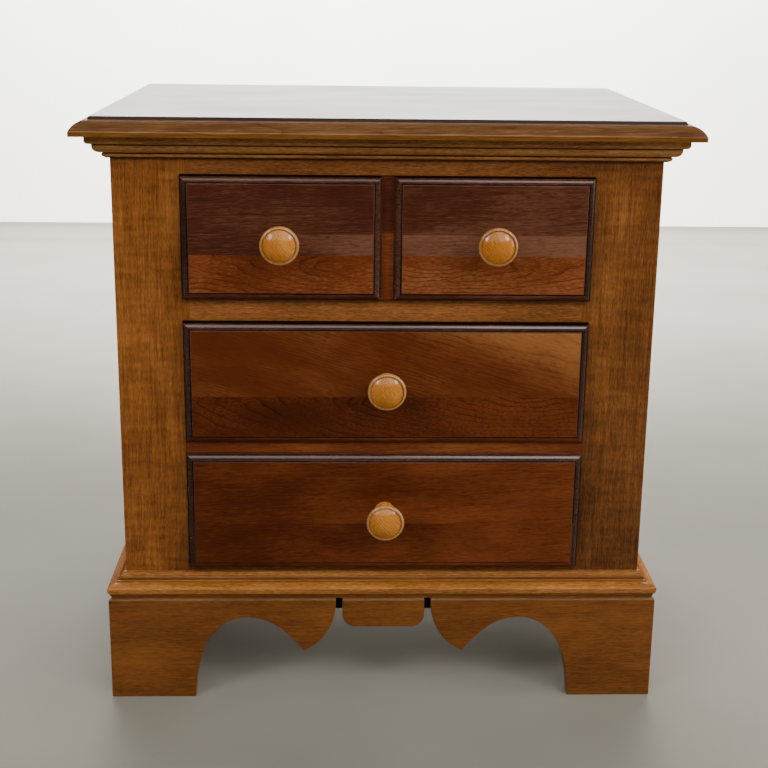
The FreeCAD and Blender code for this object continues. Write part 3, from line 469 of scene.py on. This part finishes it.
# In the base, kind 1 is painted shade in the quirks, 2 a painted highlight on the fillets and 3 the bead. In
# the crown, kind 1 is painted shade.
base_shades = [
    (6.8, 7.2, 19.2, 22.3, 1), (9.6, 10, 17.6, 18.8, 1), (15, 18.7, 0, 6.5, 1), (5.4, 7.1, 22.3, 22.7, 2),
    (7.1, 9.9, 18.8, 19.2, 2), (2.8, 5.4, 22.7, 28.6, 3),
]
crown_section = [
    (0, 0), (0, 26), (23, 26), (23, 20, 1.2), (18, 16.4), (16.4, 16.4), (16.4, 14.9, 2.7), (8, 6.2),
    (6.6, 6.2), (6.6, 5), (7.6, 5, 1.2), (4.4, 0.9), (4.4, 0),
]
crown_shades = [(16.2, 17.8, 15, 16.6, 1), (6.2, 7.9, 4.9, 6.3, 1), (4.2, 4.6, 0, 0.9, 1)]
# Mouldings are painted a lighter, warmer brown than the flat boards, for the light they catch, with a soft
# gleam along the ovolo. The side returns are duller, because they are rubbed less. The bead keeps more
# stain, and the fillets are painted paler as a highlight.
MOULDING = ("#60320e", "#9a5f26", "#c0823e")
moulding_grain = dict(brown_grain, tones=MOULDING, shine=0.3)
base_front_strip = wood("brown_stained_base_moulding", (1, 0.01, 0.01), (90, -260, 190), **moulding_grain)
base_side_strip = wood("brown_stained_base_return", (0.01, 1, 0.01), (-390, 60, 190),
                       **dict(moulding_grain, shine=0.03, rough=(0.6, 0.7)))
# Fillets painted paler and greyer as a highlight.
FILLET_HIGHLIGHT = ("#5a371a", "#8a6038", "#ab8458")
fillet_painted_highlight = wood("brown_stained_fillet_painted_highlight", (1, 0.02, 0.02), (30, -290, 50), FILLET_HIGHLIGHT, 6)
BEAD = ("#4e2a10", "#805024", "#a6723c")
bead_grain = dict(brown_grain, tones=BEAD)
base_front_bead = wood("brown_stained_base_bead", (1, 0.01, 0.01), (90, -260, 190), **bead_grain)
base_side_bead = wood("brown_stained_base_bead_return", (0.01, 1, 0.01), (-390, 60, 190),
                      **dict(bead_grain, shine=0.0, rough=(0.7, 0.8)))
CROWN = ("#63371a", "#a06a34", "#c58e50")
crown_grain = dict(brown_grain, tones=CROWN, shine=0.25)
crown_front_strip = wood("brown_stained_crown", (1, 0.01, 0.01), (10, -250, 700), **crown_grain)
crown_side_strip = wood("brown_stained_crown_return", (0.01, 1, 0.01), (-370, 60, 700), **crown_grain)
moulded_lengths("base_moulding", base_section, base_shades, APRON,
                [base_front_strip, base_front_wood, fillet_painted_highlight, base_front_bead],
                [base_side_strip, base_side_bead, base_side_bead, base_side_bead], "base_moulding")
crown_low = span("crown_front")[0].z
moulded_lengths("crown_moulding", crown_section, crown_shades, crown_low, [crown_front_strip, quirk_painted_shade],
                [crown_side_strip, quirk_painted_shade], "crown")


# Top: boards glued edge to edge with the grain across the front, the front and side edges moulded to a
# thumb with a small step, and the finish rubbed to a gloss that mirrors a pale wall at a low angle.
def stepped(bm, face, stations, anchor):
    """Draw a rectangular face in and out through stations of (inset, rise), about an anchor in its plane."""
    facing = face.normal.copy()
    flat = [axis for axis in range(3) if abs(facing[axis]) < 0.5]
    reach = {axis: max(abs(vert.co[axis] - anchor[axis]) for vert in face.verts) for axis in flat}
    last_inset, last_rise = 0, 0
    for number, (inset, rise) in enumerate(stations):
        if number:
            grown = bmesh.ops.extrude_face_region(bm, geom=[face, *face.edges])["geom"]
            face = next(part for part in grown if isinstance(part, bmesh.types.BMFace))
        ratio = Vector((1, 1, 1))
        for axis in flat:
            ratio[axis] = (reach[axis] - inset) / (reach[axis] - last_inset)
        about = Matrix.Translation(-Vector(anchor))
        bmesh.ops.scale(bm, vec=ratio, space=about, verts=face.verts)
        bmesh.ops.translate(bm, vec=facing * (rise - last_rise), verts=face.verts)
        last_inset, last_rise = inset, rise
    return face


def profile(corners):
    """The points of an open line drawn with arcs."""
    line = drawn(corners, closed=False)
    spots = [(vert.co.x, vert.co.y) for vert in line.verts]
    line.free()
    return spots


top_low, top_high = span("top_panel")
top = bmesh.new()
bmesh.ops.create_grid(top, x_segments=1, y_segments=1, size=0.5)
bmesh.ops.scale(top, vec=(top_high.x - top_low.x, top_high.y - top_low.y, 1), verts=top.verts)
bmesh.ops.translate(top, vec=(0, (top_low.y + top_high.y) / 2, top_low.z), verts=top.verts)
top.normal_update()
# Stations of (inset, rise) from the underside: a nose, the round of the thumb, and the step to the flat.
top_edge = profile([(0.5, 0, 0.15), (0, 0.5), (0, 5, 3.3), (18, 17), (19.5, 20.5)])
top.faces.ensure_lookup_table()
stepped(top, top.faces[0], top_edge, (0, top_high.y, top_low.z))
bmesh.ops.recalc_face_normals(top, faces=top.faces)
# The rise that each part of the edge stays under, and its finish: painted shade in the step, a painted
# highlight on the thumb's upper arris, the thumb painted darker as shade, a painted highlight on its lower
# arris, and the nose.
edge_finishes = [(20.4, 2), (17.2, 4), (16.2, 1), (6.4, 4), (5, 3)]
for face in top.faces:
    rise = face.calc_center_median().z - top_low.z
    for below, kind in edge_finishes:
        if rise < below:
            face.material_index = kind
# The flat is rubbed to a gloss and mirrors what is pale at a low angle, while the moulded edge stays a dull
# brown, with painted shade in its step and on the thumb, and a greyer painted highlight along the arrises.
top_grain = dict(brown_grain, rings=8, sway=22, late=0.3, fibre=0.8, streak=0.8, cloud=0.4, fleck=(22, 1.2),
                 boards=[(1, -70, (300, 60, 30), 0.05), (1, 82, (500, 130, -22), -0.08)])
TOP = ("#3e1d08", "#6a4118", "#955e2a")
# The thumb is painted darker than the nose, as shade.
THUMB = ("#3f2312", "#664427", "#8a6440")
EDGE_HIGHLIGHT = ("#533722", "#7d5c40", "#9e7f5e")
top_wood = wood("brown_stained_top_rubbed_to_gloss", (1, 0.015, 0.02), (120, -60, 560),
                **dict(top_grain, tones=TOP, rough=(0.28, 0.36), shine=0.08))
thumb_wood = wood("brown_stained_thumb", (1, 0.015, 0.02), (120, -60, 560),
                  **dict(top_grain, tones=THUMB, rough=(0.4, 0.5), shine=0.03))
nose_wood = wood("brown_stained_nose", (1, 0.015, 0.02), (120, -60, 560),
                 **dict(top_grain, tones=TOP, rough=(0.4, 0.5), shine=0.06))
edge_painted_highlight = wood("brown_stained_edge_painted_highlight", (1, 0.015, 0.02), (120, -60, 560),
                   **dict(top_grain, tones=EDGE_HIGHLIGHT, rough=(0.4, 0.5), shine=0.03))
top_kinds = [top_wood, thumb_wood, quirk_painted_shade, nose_wood, edge_painted_highlight]
piece("moulded_top", top, "case", "brown_hardwood", top_kinds, "top_panel", crease=15)


# Drawer fronts: dark cherry boards glued up with the grain across, moulded round the edge and lipped over
# the frame. A sunk strip splits each one into two fields, and dovetail sockets take the drawer sides.
def cut_out(bm, tools):
    """Take the shapes of one bmesh out of another, as a chisel or a router does."""
    carriers = []
    for shape in (bm, tools):
        mesh = bpy.data.meshes.new("cutting")
        shape.to_mesh(mesh)
        carriers.append(bpy.data.objects.new("cutting", mesh))
        bpy.context.scene.collection.objects.link(carriers[-1])
    stock, cutter = carriers
    less = stock.modifiers.new("cut", "BOOLEAN")
    less.operation = "DIFFERENCE"
    less.solver = "EXACT"
    less.use_self = True
    less.object = cutter
    bpy.context.view_layer.update()
    left = bpy.data.meshes.new_from_object(stock.evaluated_get(bpy.context.evaluated_depsgraph_get()))
    bm.clear()
    bm.from_mesh(left)
    tools.free()
    for carrier in carriers:
        old = carrier.data
        bpy.data.objects.remove(carrier)
        bpy.data.meshes.remove(old)
    bpy.data.meshes.remove(left)


def block(bm, low, high):
    """A square block between two corners."""
    low, high = Vector(low), Vector(high)
    place = Matrix.LocRotScale((low + high) / 2, None, high - low)
    return bmesh.ops.create_cube(bm, size=1, matrix=place)["verts"]


# Dark-stained cherry under lacquer: red-brown boards, each of its own tone, with fine dark lines where the
# rings run out, a band of paler sapwood across one, and the others painted paler towards the right as light.
cherry_grain = dict(fleck=(12, 0.9), sway=9, fibre=0.7, streak=0.35, cloud=0.7, pore=0.12, shine=0.15,
                    rough=(0.3, 0.42))
DEEP = ("#200902", "#471b05", "#773c1b")
RUDDY = ("#331206", "#672f13", "#986338")
UMBER = ("#220c07", "#451f11", "#744c36")
SAPPY = ("#2b0e04", "#58260c", "#9a6434")
# Each board but the sappy one is painted paler towards the right, for the light from that side.
front_boards = {
    "upper": [
        dict(heart=(60, -195.5, 533), grain=(1, -0.13, 0), rings=4, late=0.6, sway=22, tones=RUDDY,
             tone_slope=((1, 0, 0), -40, 120, 0.09)),
        dict(heart=(130, -180, 520), grain=(1, -0.06, 0.02), rings=4, late=0.35, tones=UMBER,
             tone_slope=((1, 0, 0), -170, 20, 0.4)),
        dict(heart=(0, -150, 650), grain=(1, 0.03, 0.03), rings=7, late=0.25, tones=UMBER,
             tone_slope=((1, 0, 0), -60, 160, 0.12)),
    ],
    "lower": [
        dict(heart=(-120, -150, 150), grain=(1, -0.05, 0.03), rings=6, late=0.15, tones=DEEP,
             tone_slope=((1, 0, 0), -280, 140, 0.2)),
        dict(heart=(200, -130, 420), grain=(1, 0.02, 0.04), rings=7, late=0.15, tones=DEEP,
             tone_slope=((1, 0, 0), -280, 140, 0.24)),
        dict(heart=(165, -195.5, 383), grain=(1, -0.25, 0), rings=5, late=0.55, sway=16, tones=DEEP,
             tone_slope=((1, 0, 0), -120, 200, 0.12)),
        dict(heart=(60, -140, 480), grain=(1, 0.02, -0.3), rings=3, late=0.3, tones=SAPPY, fibre=0.3,
             streak=0.12, cloud=0.4, fleck=(20, 0.9), tone_slope=((0.36, 0, 0.93), 415, 480, 0.34)),
    ],
}
# axis is the way across the strip and gap where it lies. glue_lines are heights, under is the board whose
# wood is put on edges that face down, on the upper front a darker one as painted shade, gloss is the edges'
# top coat, and above quirk_low the quirks are painted black as shadow.
fronts = {
    "upper": dict(axis=0, gap=(-6.75, 6.75), glue_lines=[544, 568],
                  under=2, gloss=0.36, quirk_low=0),
    "lower": dict(axis=2, gap=(308.25, 321.75), glue_lines=[223, 315, 379],
                  under=0, gloss=1.0, quirk_low=200),
}
# The moulded edges are painted a darker brown than the fields as shade, under a hard gloss, so each catches
# one thin line of light. The two ends are painted darker still as shade, the lip is painted black as shadow,
# and the field's arris and the mitres are a paler, redder wood. The strip is painted lighter than its
# boards, as light.
EDGE = ("#1c0c06", "#3e1f12", "#663e28")
END_SHADE = ("#160a07", "#2e1a13", "#4c342a")
ARRIS = ("#2e140a", "#542c18", "#805236")
STRIP = ("#301208", "#622b10", "#975a26")
LEDGE = 5
FIELD_PROUD = 14
FIELD_EASE = 0.8
FIELD_STEPS = 4
LIP_GAP = 0.3
LIP_EASE = 0.3
LIP_RIM = 1.2
QUIRK_BACK = 1
ARRIS_BACK = 0.6
END_START = 150
TONGUE_DROP = 9.5
TAIL_SPACING = 36
TAIL_LONG = 8
TAIL_DEEP = 12
TAIL_NECK_HALF = 9.75
TAIL_TIP_HALF = 12
PAST = 1
# Stations of (inset, proud) from the ledge: the round, the quirk and the rise to the field.
edge_run = profile([(0, LEDGE, 2.1), (7.6, 12.3), (8.8, 12.3), (8.8, FIELD_PROUD)])
end_painted_shade = wood("moulded_end_painted_shade", (1, 0.02, 0.02), (0, -150, 300), END_SHADE, 8, rough=(0.16, 0.24),
                 shine=0.3)
lip_painted_shadow = wood("lip_painted_black_as_shadow", (1, 0.02, 0.02), (0, -150, 300), BLACK, 8, shine=0.02)
paler_arris = wood("paler_cherry_arris", (1, 0.02, 0.02), (0, -150, 300), ARRIS, 8)
# The strip's wood is painted lighter than the boards, as light in the sunk strip.
strip_painted_lighter = wood("cherry_strip_painted_lighter", (1, 0.03, 0.03), (0, -150, 650), STRIP, 11, fibre=0.5,
                  streak=0.4, boards=[(2, 568, (0, 0, 0), -0.3)])
for tier, front in fronts.items():
    low, high = span(f"{tier}_drawer_front")
    box_low, box_high = span(f"{tier}_drawer_left_side")
    bottom_low, bottom_high = span(f"{tier}_drawer_bottom")
    lip_back = case_front - LIP_GAP
    body = bmesh.new()
    block(body, (low.x, case_front - LEDGE, low.z), (high.x, lip_back, high.z))
    normal = Vector((0, 0, 0))
    normal[front["axis"]] = 1
    for place in front["gap"]:
        whole = body.verts[:] + body.edges[:] + body.faces[:]
        bmesh.ops.bisect_plane(body, geom=whole, plane_co=normal * place, plane_no=normal)
    body.normal_update()
    fields = []
    for face in body.faces:
        middle = face.calc_center_median()
        if face.normal.y < -0.9 and not front["gap"][0] < middle[front["axis"]] < front["gap"][1]:
            fields.append(face)
    for face in fields:
        stepped(body, face, [(inset, proud - LEDGE) for inset, proud in edge_run], face.calc_center_median())
    body.normal_update()
    behind = [face for face in body.faces if face.normal.y > 0.9]
    edges = {edge for face in behind for edge in face.edges}
    seams = [edge for edge in edges if all(face in behind for face in edge.link_faces)]
    bmesh.ops.dissolve_edges(body, edges=seams, use_verts=False)
    body.normal_update()
    shoulder = next(face for face in body.faces if face.normal.y > 0.9)
    grown = bmesh.ops.extrude_face_region(body, geom=[shoulder, *shoulder.edges])["geom"]
    shoulder = next(part for part in grown if isinstance(part, bmesh.types.BMFace))
    tongue_high = high.z - TONGUE_DROP
    tongue_half = -box_low.x
    for vert in shoulder.verts:
        vert.co.x = max(-tongue_half, min(tongue_half, vert.co.x))
        vert.co.z = max(box_low.z, min(tongue_high, vert.co.z))
    grown = bmesh.ops.extrude_face_region(body, geom=[shoulder, *shoulder.edges])["geom"]
    far = [part for part in grown if isinstance(part, bmesh.types.BMVert)]
    bmesh.ops.translate(body, vec=(0, high.y - lip_back, 0), verts=far)
    bmesh.ops.recalc_face_normals(body, faces=body.faces)
    field_front = case_front - FIELD_PROUD
    eased(body, FIELD_EASE, lambda a, b: max(a.y, b.y) < field_front + NEAR, FIELD_STEPS)
    eased(body, LIP_EASE, lambda a, b: min(a.y, b.y) > field_front + 1.5 * FIELD_EASE)

    tools = bmesh.new()
    tail_count = max(2, round((box_high.z - box_low.z) / TAIL_SPACING))
    pitch = (box_high.z - box_low.z) / tail_count
    for number in range(tail_count):
        middle = box_low.z + pitch * (number + 0.5)
        about = Matrix.Translation((0, 0, -middle))
        for left, right in (
            (-tongue_half - PAST, TAIL_DEEP - tongue_half), (tongue_half - TAIL_DEEP, tongue_half + PAST),
        ):
            tail = block(tools, (left, high.y - TAIL_LONG, middle - TAIL_NECK_HALF),
                         (right, high.y + PAST, middle + TAIL_NECK_HALF))
            tips = [vert for vert in tail if vert.co.y < high.y]
            bmesh.ops.scale(tools, vec=(1, 1, TAIL_TIP_HALF / TAIL_NECK_HALF), space=about, verts=tips)
    block(tools, bottom_low, (bottom_high.x, high.y + 2 * PAST, bottom_high.z))
    cut_out(body, tools)
    for glue_line in front["glue_lines"]:
        whole = body.verts[:] + body.edges[:] + body.faces[:]
        bmesh.ops.bisect_plane(body, geom=whole, plane_co=(0, 0, glue_line), plane_no=(0, 0, 1))
    body.normal_update()
    kinds = []
    for number, board in enumerate(front_boards[tier]):
        kinds.append(wood(f"{tier}_front_cherry_board_{number}", **dict(cherry_grain, **board)))
    edge_gloss = wood(f"{tier}_glossy_moulded_edge", (1, 0.02, 0.02), (0, -150, 300), EDGE, 8,
                      rough=(0.12, 0.18), coat=front["gloss"], shine=0.5)
    end_shade_kind, shadow_kind, strip_kind, gloss_kind, arris_kind = range(len(kinds), len(kinds) + 5)
    kinds += [end_painted_shade, lip_painted_shadow, strip_painted_lighter, edge_gloss, paler_arris]
    for face in body.faces:
        middle = face.calc_center_median()
        face.material_index = sum(middle.z > glue_line for glue_line in front["glue_lines"])
        mitre = min(abs(face.normal.x), abs(face.normal.z)) > 0.15
        rim = min(middle.x - low.x, high.x - middle.x, middle.z - low.z, high.z - middle.z)
        if middle.y > lip_back:
            continue
        # A face that looks straight ahead is the strip, a quirk or a field. Others are the moulded edge.
        if abs(face.normal.y) > 0.999:
            if abs(middle.y - case_front + LEDGE) < NEAR:
                face.material_index = strip_kind
            # Quirks above quirk_low are painted black as shadow.
            elif middle.y > field_front + QUIRK_BACK and middle.z > front["quirk_low"]:
                face.material_index = shadow_kind
        # The lip and its outer rim are painted black as shadow.
        elif rim < LIP_RIM or middle.y > case_front - LEDGE:
            face.material_index = shadow_kind
        elif middle.y < field_front + ARRIS_BACK or mitre:
            face.material_index = arris_kind
        # Edges facing down take the under board, a darker one as painted shade on the upper front.
        elif face.normal.z < -0.02:
            face.material_index = front["under"]
        # The ends are painted darker as shade.
        elif abs(middle.x) > END_START and abs(face.normal.x) > 0.02:
            face.material_index = end_shade_kind
        else:
            face.material_index = gloss_kind
    piece(f"{tier}_moulded_front", body, f"{tier}_drawer", "cherry_front", kinds, f"{tier}_drawer_front")


# Drawer boxes: poplar sides dovetailed to the front, a poplar back let into the sides, a plywood bottom
# in grooves, and a moulded nylon saddle under the back that runs on the centre guide.
# Moulded nylon is milky and a little translucent. Its fine grit is drawn about 1 mm wide, so that it shows.
nylon, tree = new_material("moulded_nylon")
place = add(tree, "TexCoord").outputs["Object"]
grit = add(tree, "TexNoise", {"Vector": place, "Scale": 900, "Detail": 2}).outputs["Fac"]
colour = add(tree, "ValToRGB", {"Fac": grit}, stops=[(0.3, "#cfcabc"), (0.7, "#e4e0d5")]).outputs[0]
matt = {"Value": grit, "From Min": 0.3, "From Max": 0.7, "To Min": 0.35, "To Max": 0.5}
matt = add(tree, "MapRange", matt).outputs[0]
relief = add(tree, "Bump", {"Strength": 0.1, "Distance": 0.0002, "Height": grit}).outputs[0]
surface = {"Base Color": colour, "Roughness": matt, "Normal": relief, "IOR": 1.53, "Subsurface Weight": 0.1}
add(tree, "OutputMaterial", {"Surface": add(tree, "BsdfPrincipled", surface).outputs[0]})
for tier in ("upper", "lower"):
    for node in (f"{tier}_drawer_left_side", f"{tier}_drawer_right_side"):
        finished_node(node, poplar_along, arris=0.25)
    finished_node(f"{tier}_drawer_back", poplar_across)
    finished_node(f"{tier}_drawer_bottom", dust_ply)
    finished_node(f"{tier}_drawer_saddle", nylon, arris=0.6)


# Knobs: turned maple with a honey lacquer, a flange, a waist, a flared head and a domed face inside a rim.
# Each is held by a zinc-plated truss-head screw through the drawer front.
TURNED_STEPS = 64
RIM_START = 34
RIM_RADIUS = 18.8
GROOVE_START = 36.5
GROOVE_RADIUS = 17.8
# Maple under honey lacquer: close slanting rings in an amber film with a clear highlight. The groove is
# painted a darker ring as shade, and the rim a paler, shinier one as painted light.
HONEY = ("#7a420e", "#b46d22", "#da9a48")
GROOVE_SHADE = ("#5e3610", "#845222", "#a46e38")
RIM_LIGHT = ("#7e4f24", "#a87340", "#cb9c66")
honey_maple = wood("honey_lacquered_maple", (0.6, 0.15, -0.78), (30, -260, 540), HONEY, 2.6, sway=6,
                   late=0.6, fibre=0.7, streak=0.3, cloud=0.8, pore=0.12, rough=(0.16, 0.24), shine=0.4)
rim_painted_light = wood("honey_lacquer_painted_light_on_rim", (0.6, 0.15, -0.78), (30, -260, 540), RIM_LIGHT, 3,
                  rough=(0.16, 0.24), shine=0.6)
groove_painted_shade = wood("honey_lacquer_painted_shade_in_groove", (0.6, 0.15, -0.78), (30, -260, 540), GROOVE_SHADE, 3)
for node in ("upper_left_knob", "upper_right_knob", "lower_top_knob", "lower_bottom_knob"):
    low, high = span(node)
    across, up = (low.x + high.x) / 2, (low.z + high.z) / 2
    # Points of (out, radius): the flange, the waist, the flare, the rim, the groove and the dome.
    knob = drawn([
        (0, 11.3, 0.95), (5, 11.3), (5.2, 10), (7, 7.6, -3.6), (29.5, 18, 0.98), (34, 21.5, 1.1),
        (37.8, 18.9), (36.6, 18.4), (36.6, 18, 1.65), (43, 0),
    ], closed=False)
    bmesh.ops.spin(knob, geom=knob.verts[:] + knob.edges[:], cent=(0, 0, 0), axis=(1, 0, 0),
                   angle=math.tau, steps=TURNED_STEPS, use_merge=True)
    bmesh.ops.remove_doubles(knob, verts=knob.verts, dist=0.01)
    rim = [edge for edge in knob.edges if edge.is_boundary]
    bmesh.ops.contextual_create(knob, geom=rim)
    for face in knob.faces:
        middle = face.calc_center_median()
        out = math.hypot(middle.y, middle.z)
        if middle.x > RIM_START and out > RIM_RADIUS:
            face.material_index = 2
        elif middle.x > GROOVE_START and out > GROOVE_RADIUS:
            face.material_index = 1
    way = Matrix((-BACK, UP, RIGHT)).transposed().to_4x4()
    bmesh.ops.transform(knob, matrix=Matrix.Translation((across, high.y, up)) @ way, verts=knob.verts)
    piece("turned_" + node, knob, node.split("_")[0] + "_drawer", "honey_knob",
          [honey_maple, groove_painted_shade, rim_painted_light], node)

# Zinc plating gives a soft grey metal with faint spangles, about 2 mm wide.
zinc, tree = new_material("zinc_plated_steel")
place = add(tree, "TexCoord").outputs["Object"]
spangle = add(tree, "TexNoise", {"Vector": place, "Scale": 500, "Detail": 3}).outputs["Fac"]
colour = add(tree, "ValToRGB", {"Fac": spangle}, stops=[(0.3, "#a9aaa8"), (0.7, "#cfcfc9")]).outputs[0]
matt = {"Value": spangle, "From Min": 0.3, "From Max": 0.7, "To Min": 0.28, "To Max": 0.42}
matt = add(tree, "MapRange", matt).outputs[0]
surface = {"Base Color": colour, "Roughness": matt, "Metallic": 1}
add(tree, "OutputMaterial", {"Surface": add(tree, "BsdfPrincipled", surface).outputs[0]})
for node in ("top_screws", "upper_knob_screws", "lower_knob_screws"):
    finished_node(node, zinc, arris=0.15)


# Studio: a pale floor that sweeps up into a wall behind, wide soft lights over the front, and a camera where
# the photograph was taken from. Sizes here are in metres.
FLOOR_HALF = 7
FLOOR_NEAR = -6
WALL = 2.6
WALL_HIGH = 3.4
FOLD = 0.05
sweep = bmesh.new()
corners = [(-FLOOR_HALF, FLOOR_NEAR), (FLOOR_HALF, FLOOR_NEAR), (FLOOR_HALF, WALL), (-FLOOR_HALF, WALL)]
sweep.faces.new([sweep.verts.new((*corner, 0)) for corner in corners])
fold = next(edge for edge in sweep.edges if all(vert.co.y > 0 for vert in edge.verts))
grown = bmesh.ops.extrude_edge_only(sweep, edges=[fold])["geom"]
raised = [part for part in grown if isinstance(part, bmesh.types.BMVert)]
bmesh.ops.translate(sweep, vec=(0, 0, WALL_HIGH), verts=raised)
fold = [edge for edge in sweep.edges if len(edge.link_faces) == 2]
bmesh.ops.bevel(sweep, geom=fold, offset=FOLD, offset_type="OFFSET", affect="EDGES", segments=10,
                profile=0.5, material=-1)
for face in sweep.faces:
    face.material_index = int(face.calc_center_median().z > 1.2 * FOLD)
mesh = bpy.data.meshes.new("studio_sweep")
sweep.to_mesh(mesh)
sweep.free()
mesh.shade_smooth()
studio = bpy.data.objects.new("studio_sweep", mesh)
bpy.context.scene.collection.objects.link(studio)
# Matt paint from a roller is nearly even, with faint wide patches.
FLOOR = ("#7e7a6e", "#888478")
WHITE = ("#e6e5e1", "#ecebe8")
for name, tones in (("pale_grey_floor_paint", FLOOR), ("white_wall_paint", WHITE)):
    paint, tree = new_material(name)
    place = add(tree, "TexCoord").outputs["Object"]
    roller = add(tree, "TexNoise", {"Vector": place, "Scale": 3, "Detail": 3}).outputs["Fac"]
    colour = add(tree, "ValToRGB", {"Fac": roller}, stops=list(zip((0.3, 0.7), tones))).outputs[0]
    surface = {"Base Color": colour, "Roughness": 0.7}
    add(tree, "OutputMaterial", {"Surface": add(tree, "BsdfPrincipled", surface).outputs[0]})
    mesh.materials.append(paint)

# Each light's place, what it faces, its size, its watts and its spread in degrees.
for name, spot, aim, size, power, spread in (
    ("soft_front", (0, -2.2, 2.35), (0, -0.2, 0.4), (4.2, 2.0), 41, 180),
    ("soft_right", (0.85, -2.15, 2.3), (0.3, -0.2, 0.4), (1.1, 2.0), 11, 180),
    ("left_window", (-1.8, -1.63, 1.8), (0, -0.2, 0.4), (0.5, 0.8), 24, 180),
    ("right_window", (1.8, -1.63, 1.8), (0, -0.2, 0.4), (0.5, 0.8), 24, 180),
    ("side_glow", (2.6, -0.5, 1.1), (0, -0.2, 0.5), (1.2, 1.6), 40, 180),
    ("wall_wash", (0, 0.6, 3.0), (0, 2.6, 1.3), (3.5, 0.8), 420, 100),
):
    lamp = bpy.data.lights.new(name, "AREA")
    lamp.shape = "RECTANGLE"
    lamp.size, lamp.size_y = size
    lamp.energy = power
    lamp.spread = math.radians(spread)
    light = bpy.data.objects.new(name, lamp)
    light.location = spot
    light.rotation_euler = (Vector(aim) - Vector(spot)).to_track_quat("-Z", "Y").to_euler()
    bpy.context.scene.collection.objects.link(light)
world = bpy.data.worlds.new("pale_room")
world.use_nodes = True
glow = world.node_tree.nodes["Background"]
glow.inputs["Color"].default_value = linear("#eeece6")
glow.inputs["Strength"].default_value = 0.16
bpy.context.scene.world = world

# The focal length, the height of the optical axis and the side of the frame, in pixels.
FOCAL = 1267.3
AXIS = 301.5
FRAME = 768
SENSOR = 36
EYE = (-0.0466, -1.5734, 0.8411)
lens = bpy.data.cameras.new("viewpoint")
lens.lens = FOCAL / FRAME * SENSOR
lens.sensor_width = SENSOR
lens.shift_y = (AXIS - FRAME / 2) / FRAME
camera = bpy.data.objects.new("viewpoint", lens)
yaw, pitch, roll = (math.radians(angle) for angle in (-1.786, 14.209, 0.729))
tilted = Matrix.Rotation(math.pi / 2 - pitch, 4, "X") @ Matrix.Rotation(roll, 4, "Z")
camera.matrix_world = Matrix.Translation(EYE) @ Matrix.Rotation(yaw, 4, "Z") @ tilted
bpy.context.scene.collection.objects.link(camera)
bpy.context.scene.camera = camera

bpy.context.view_layer.update()
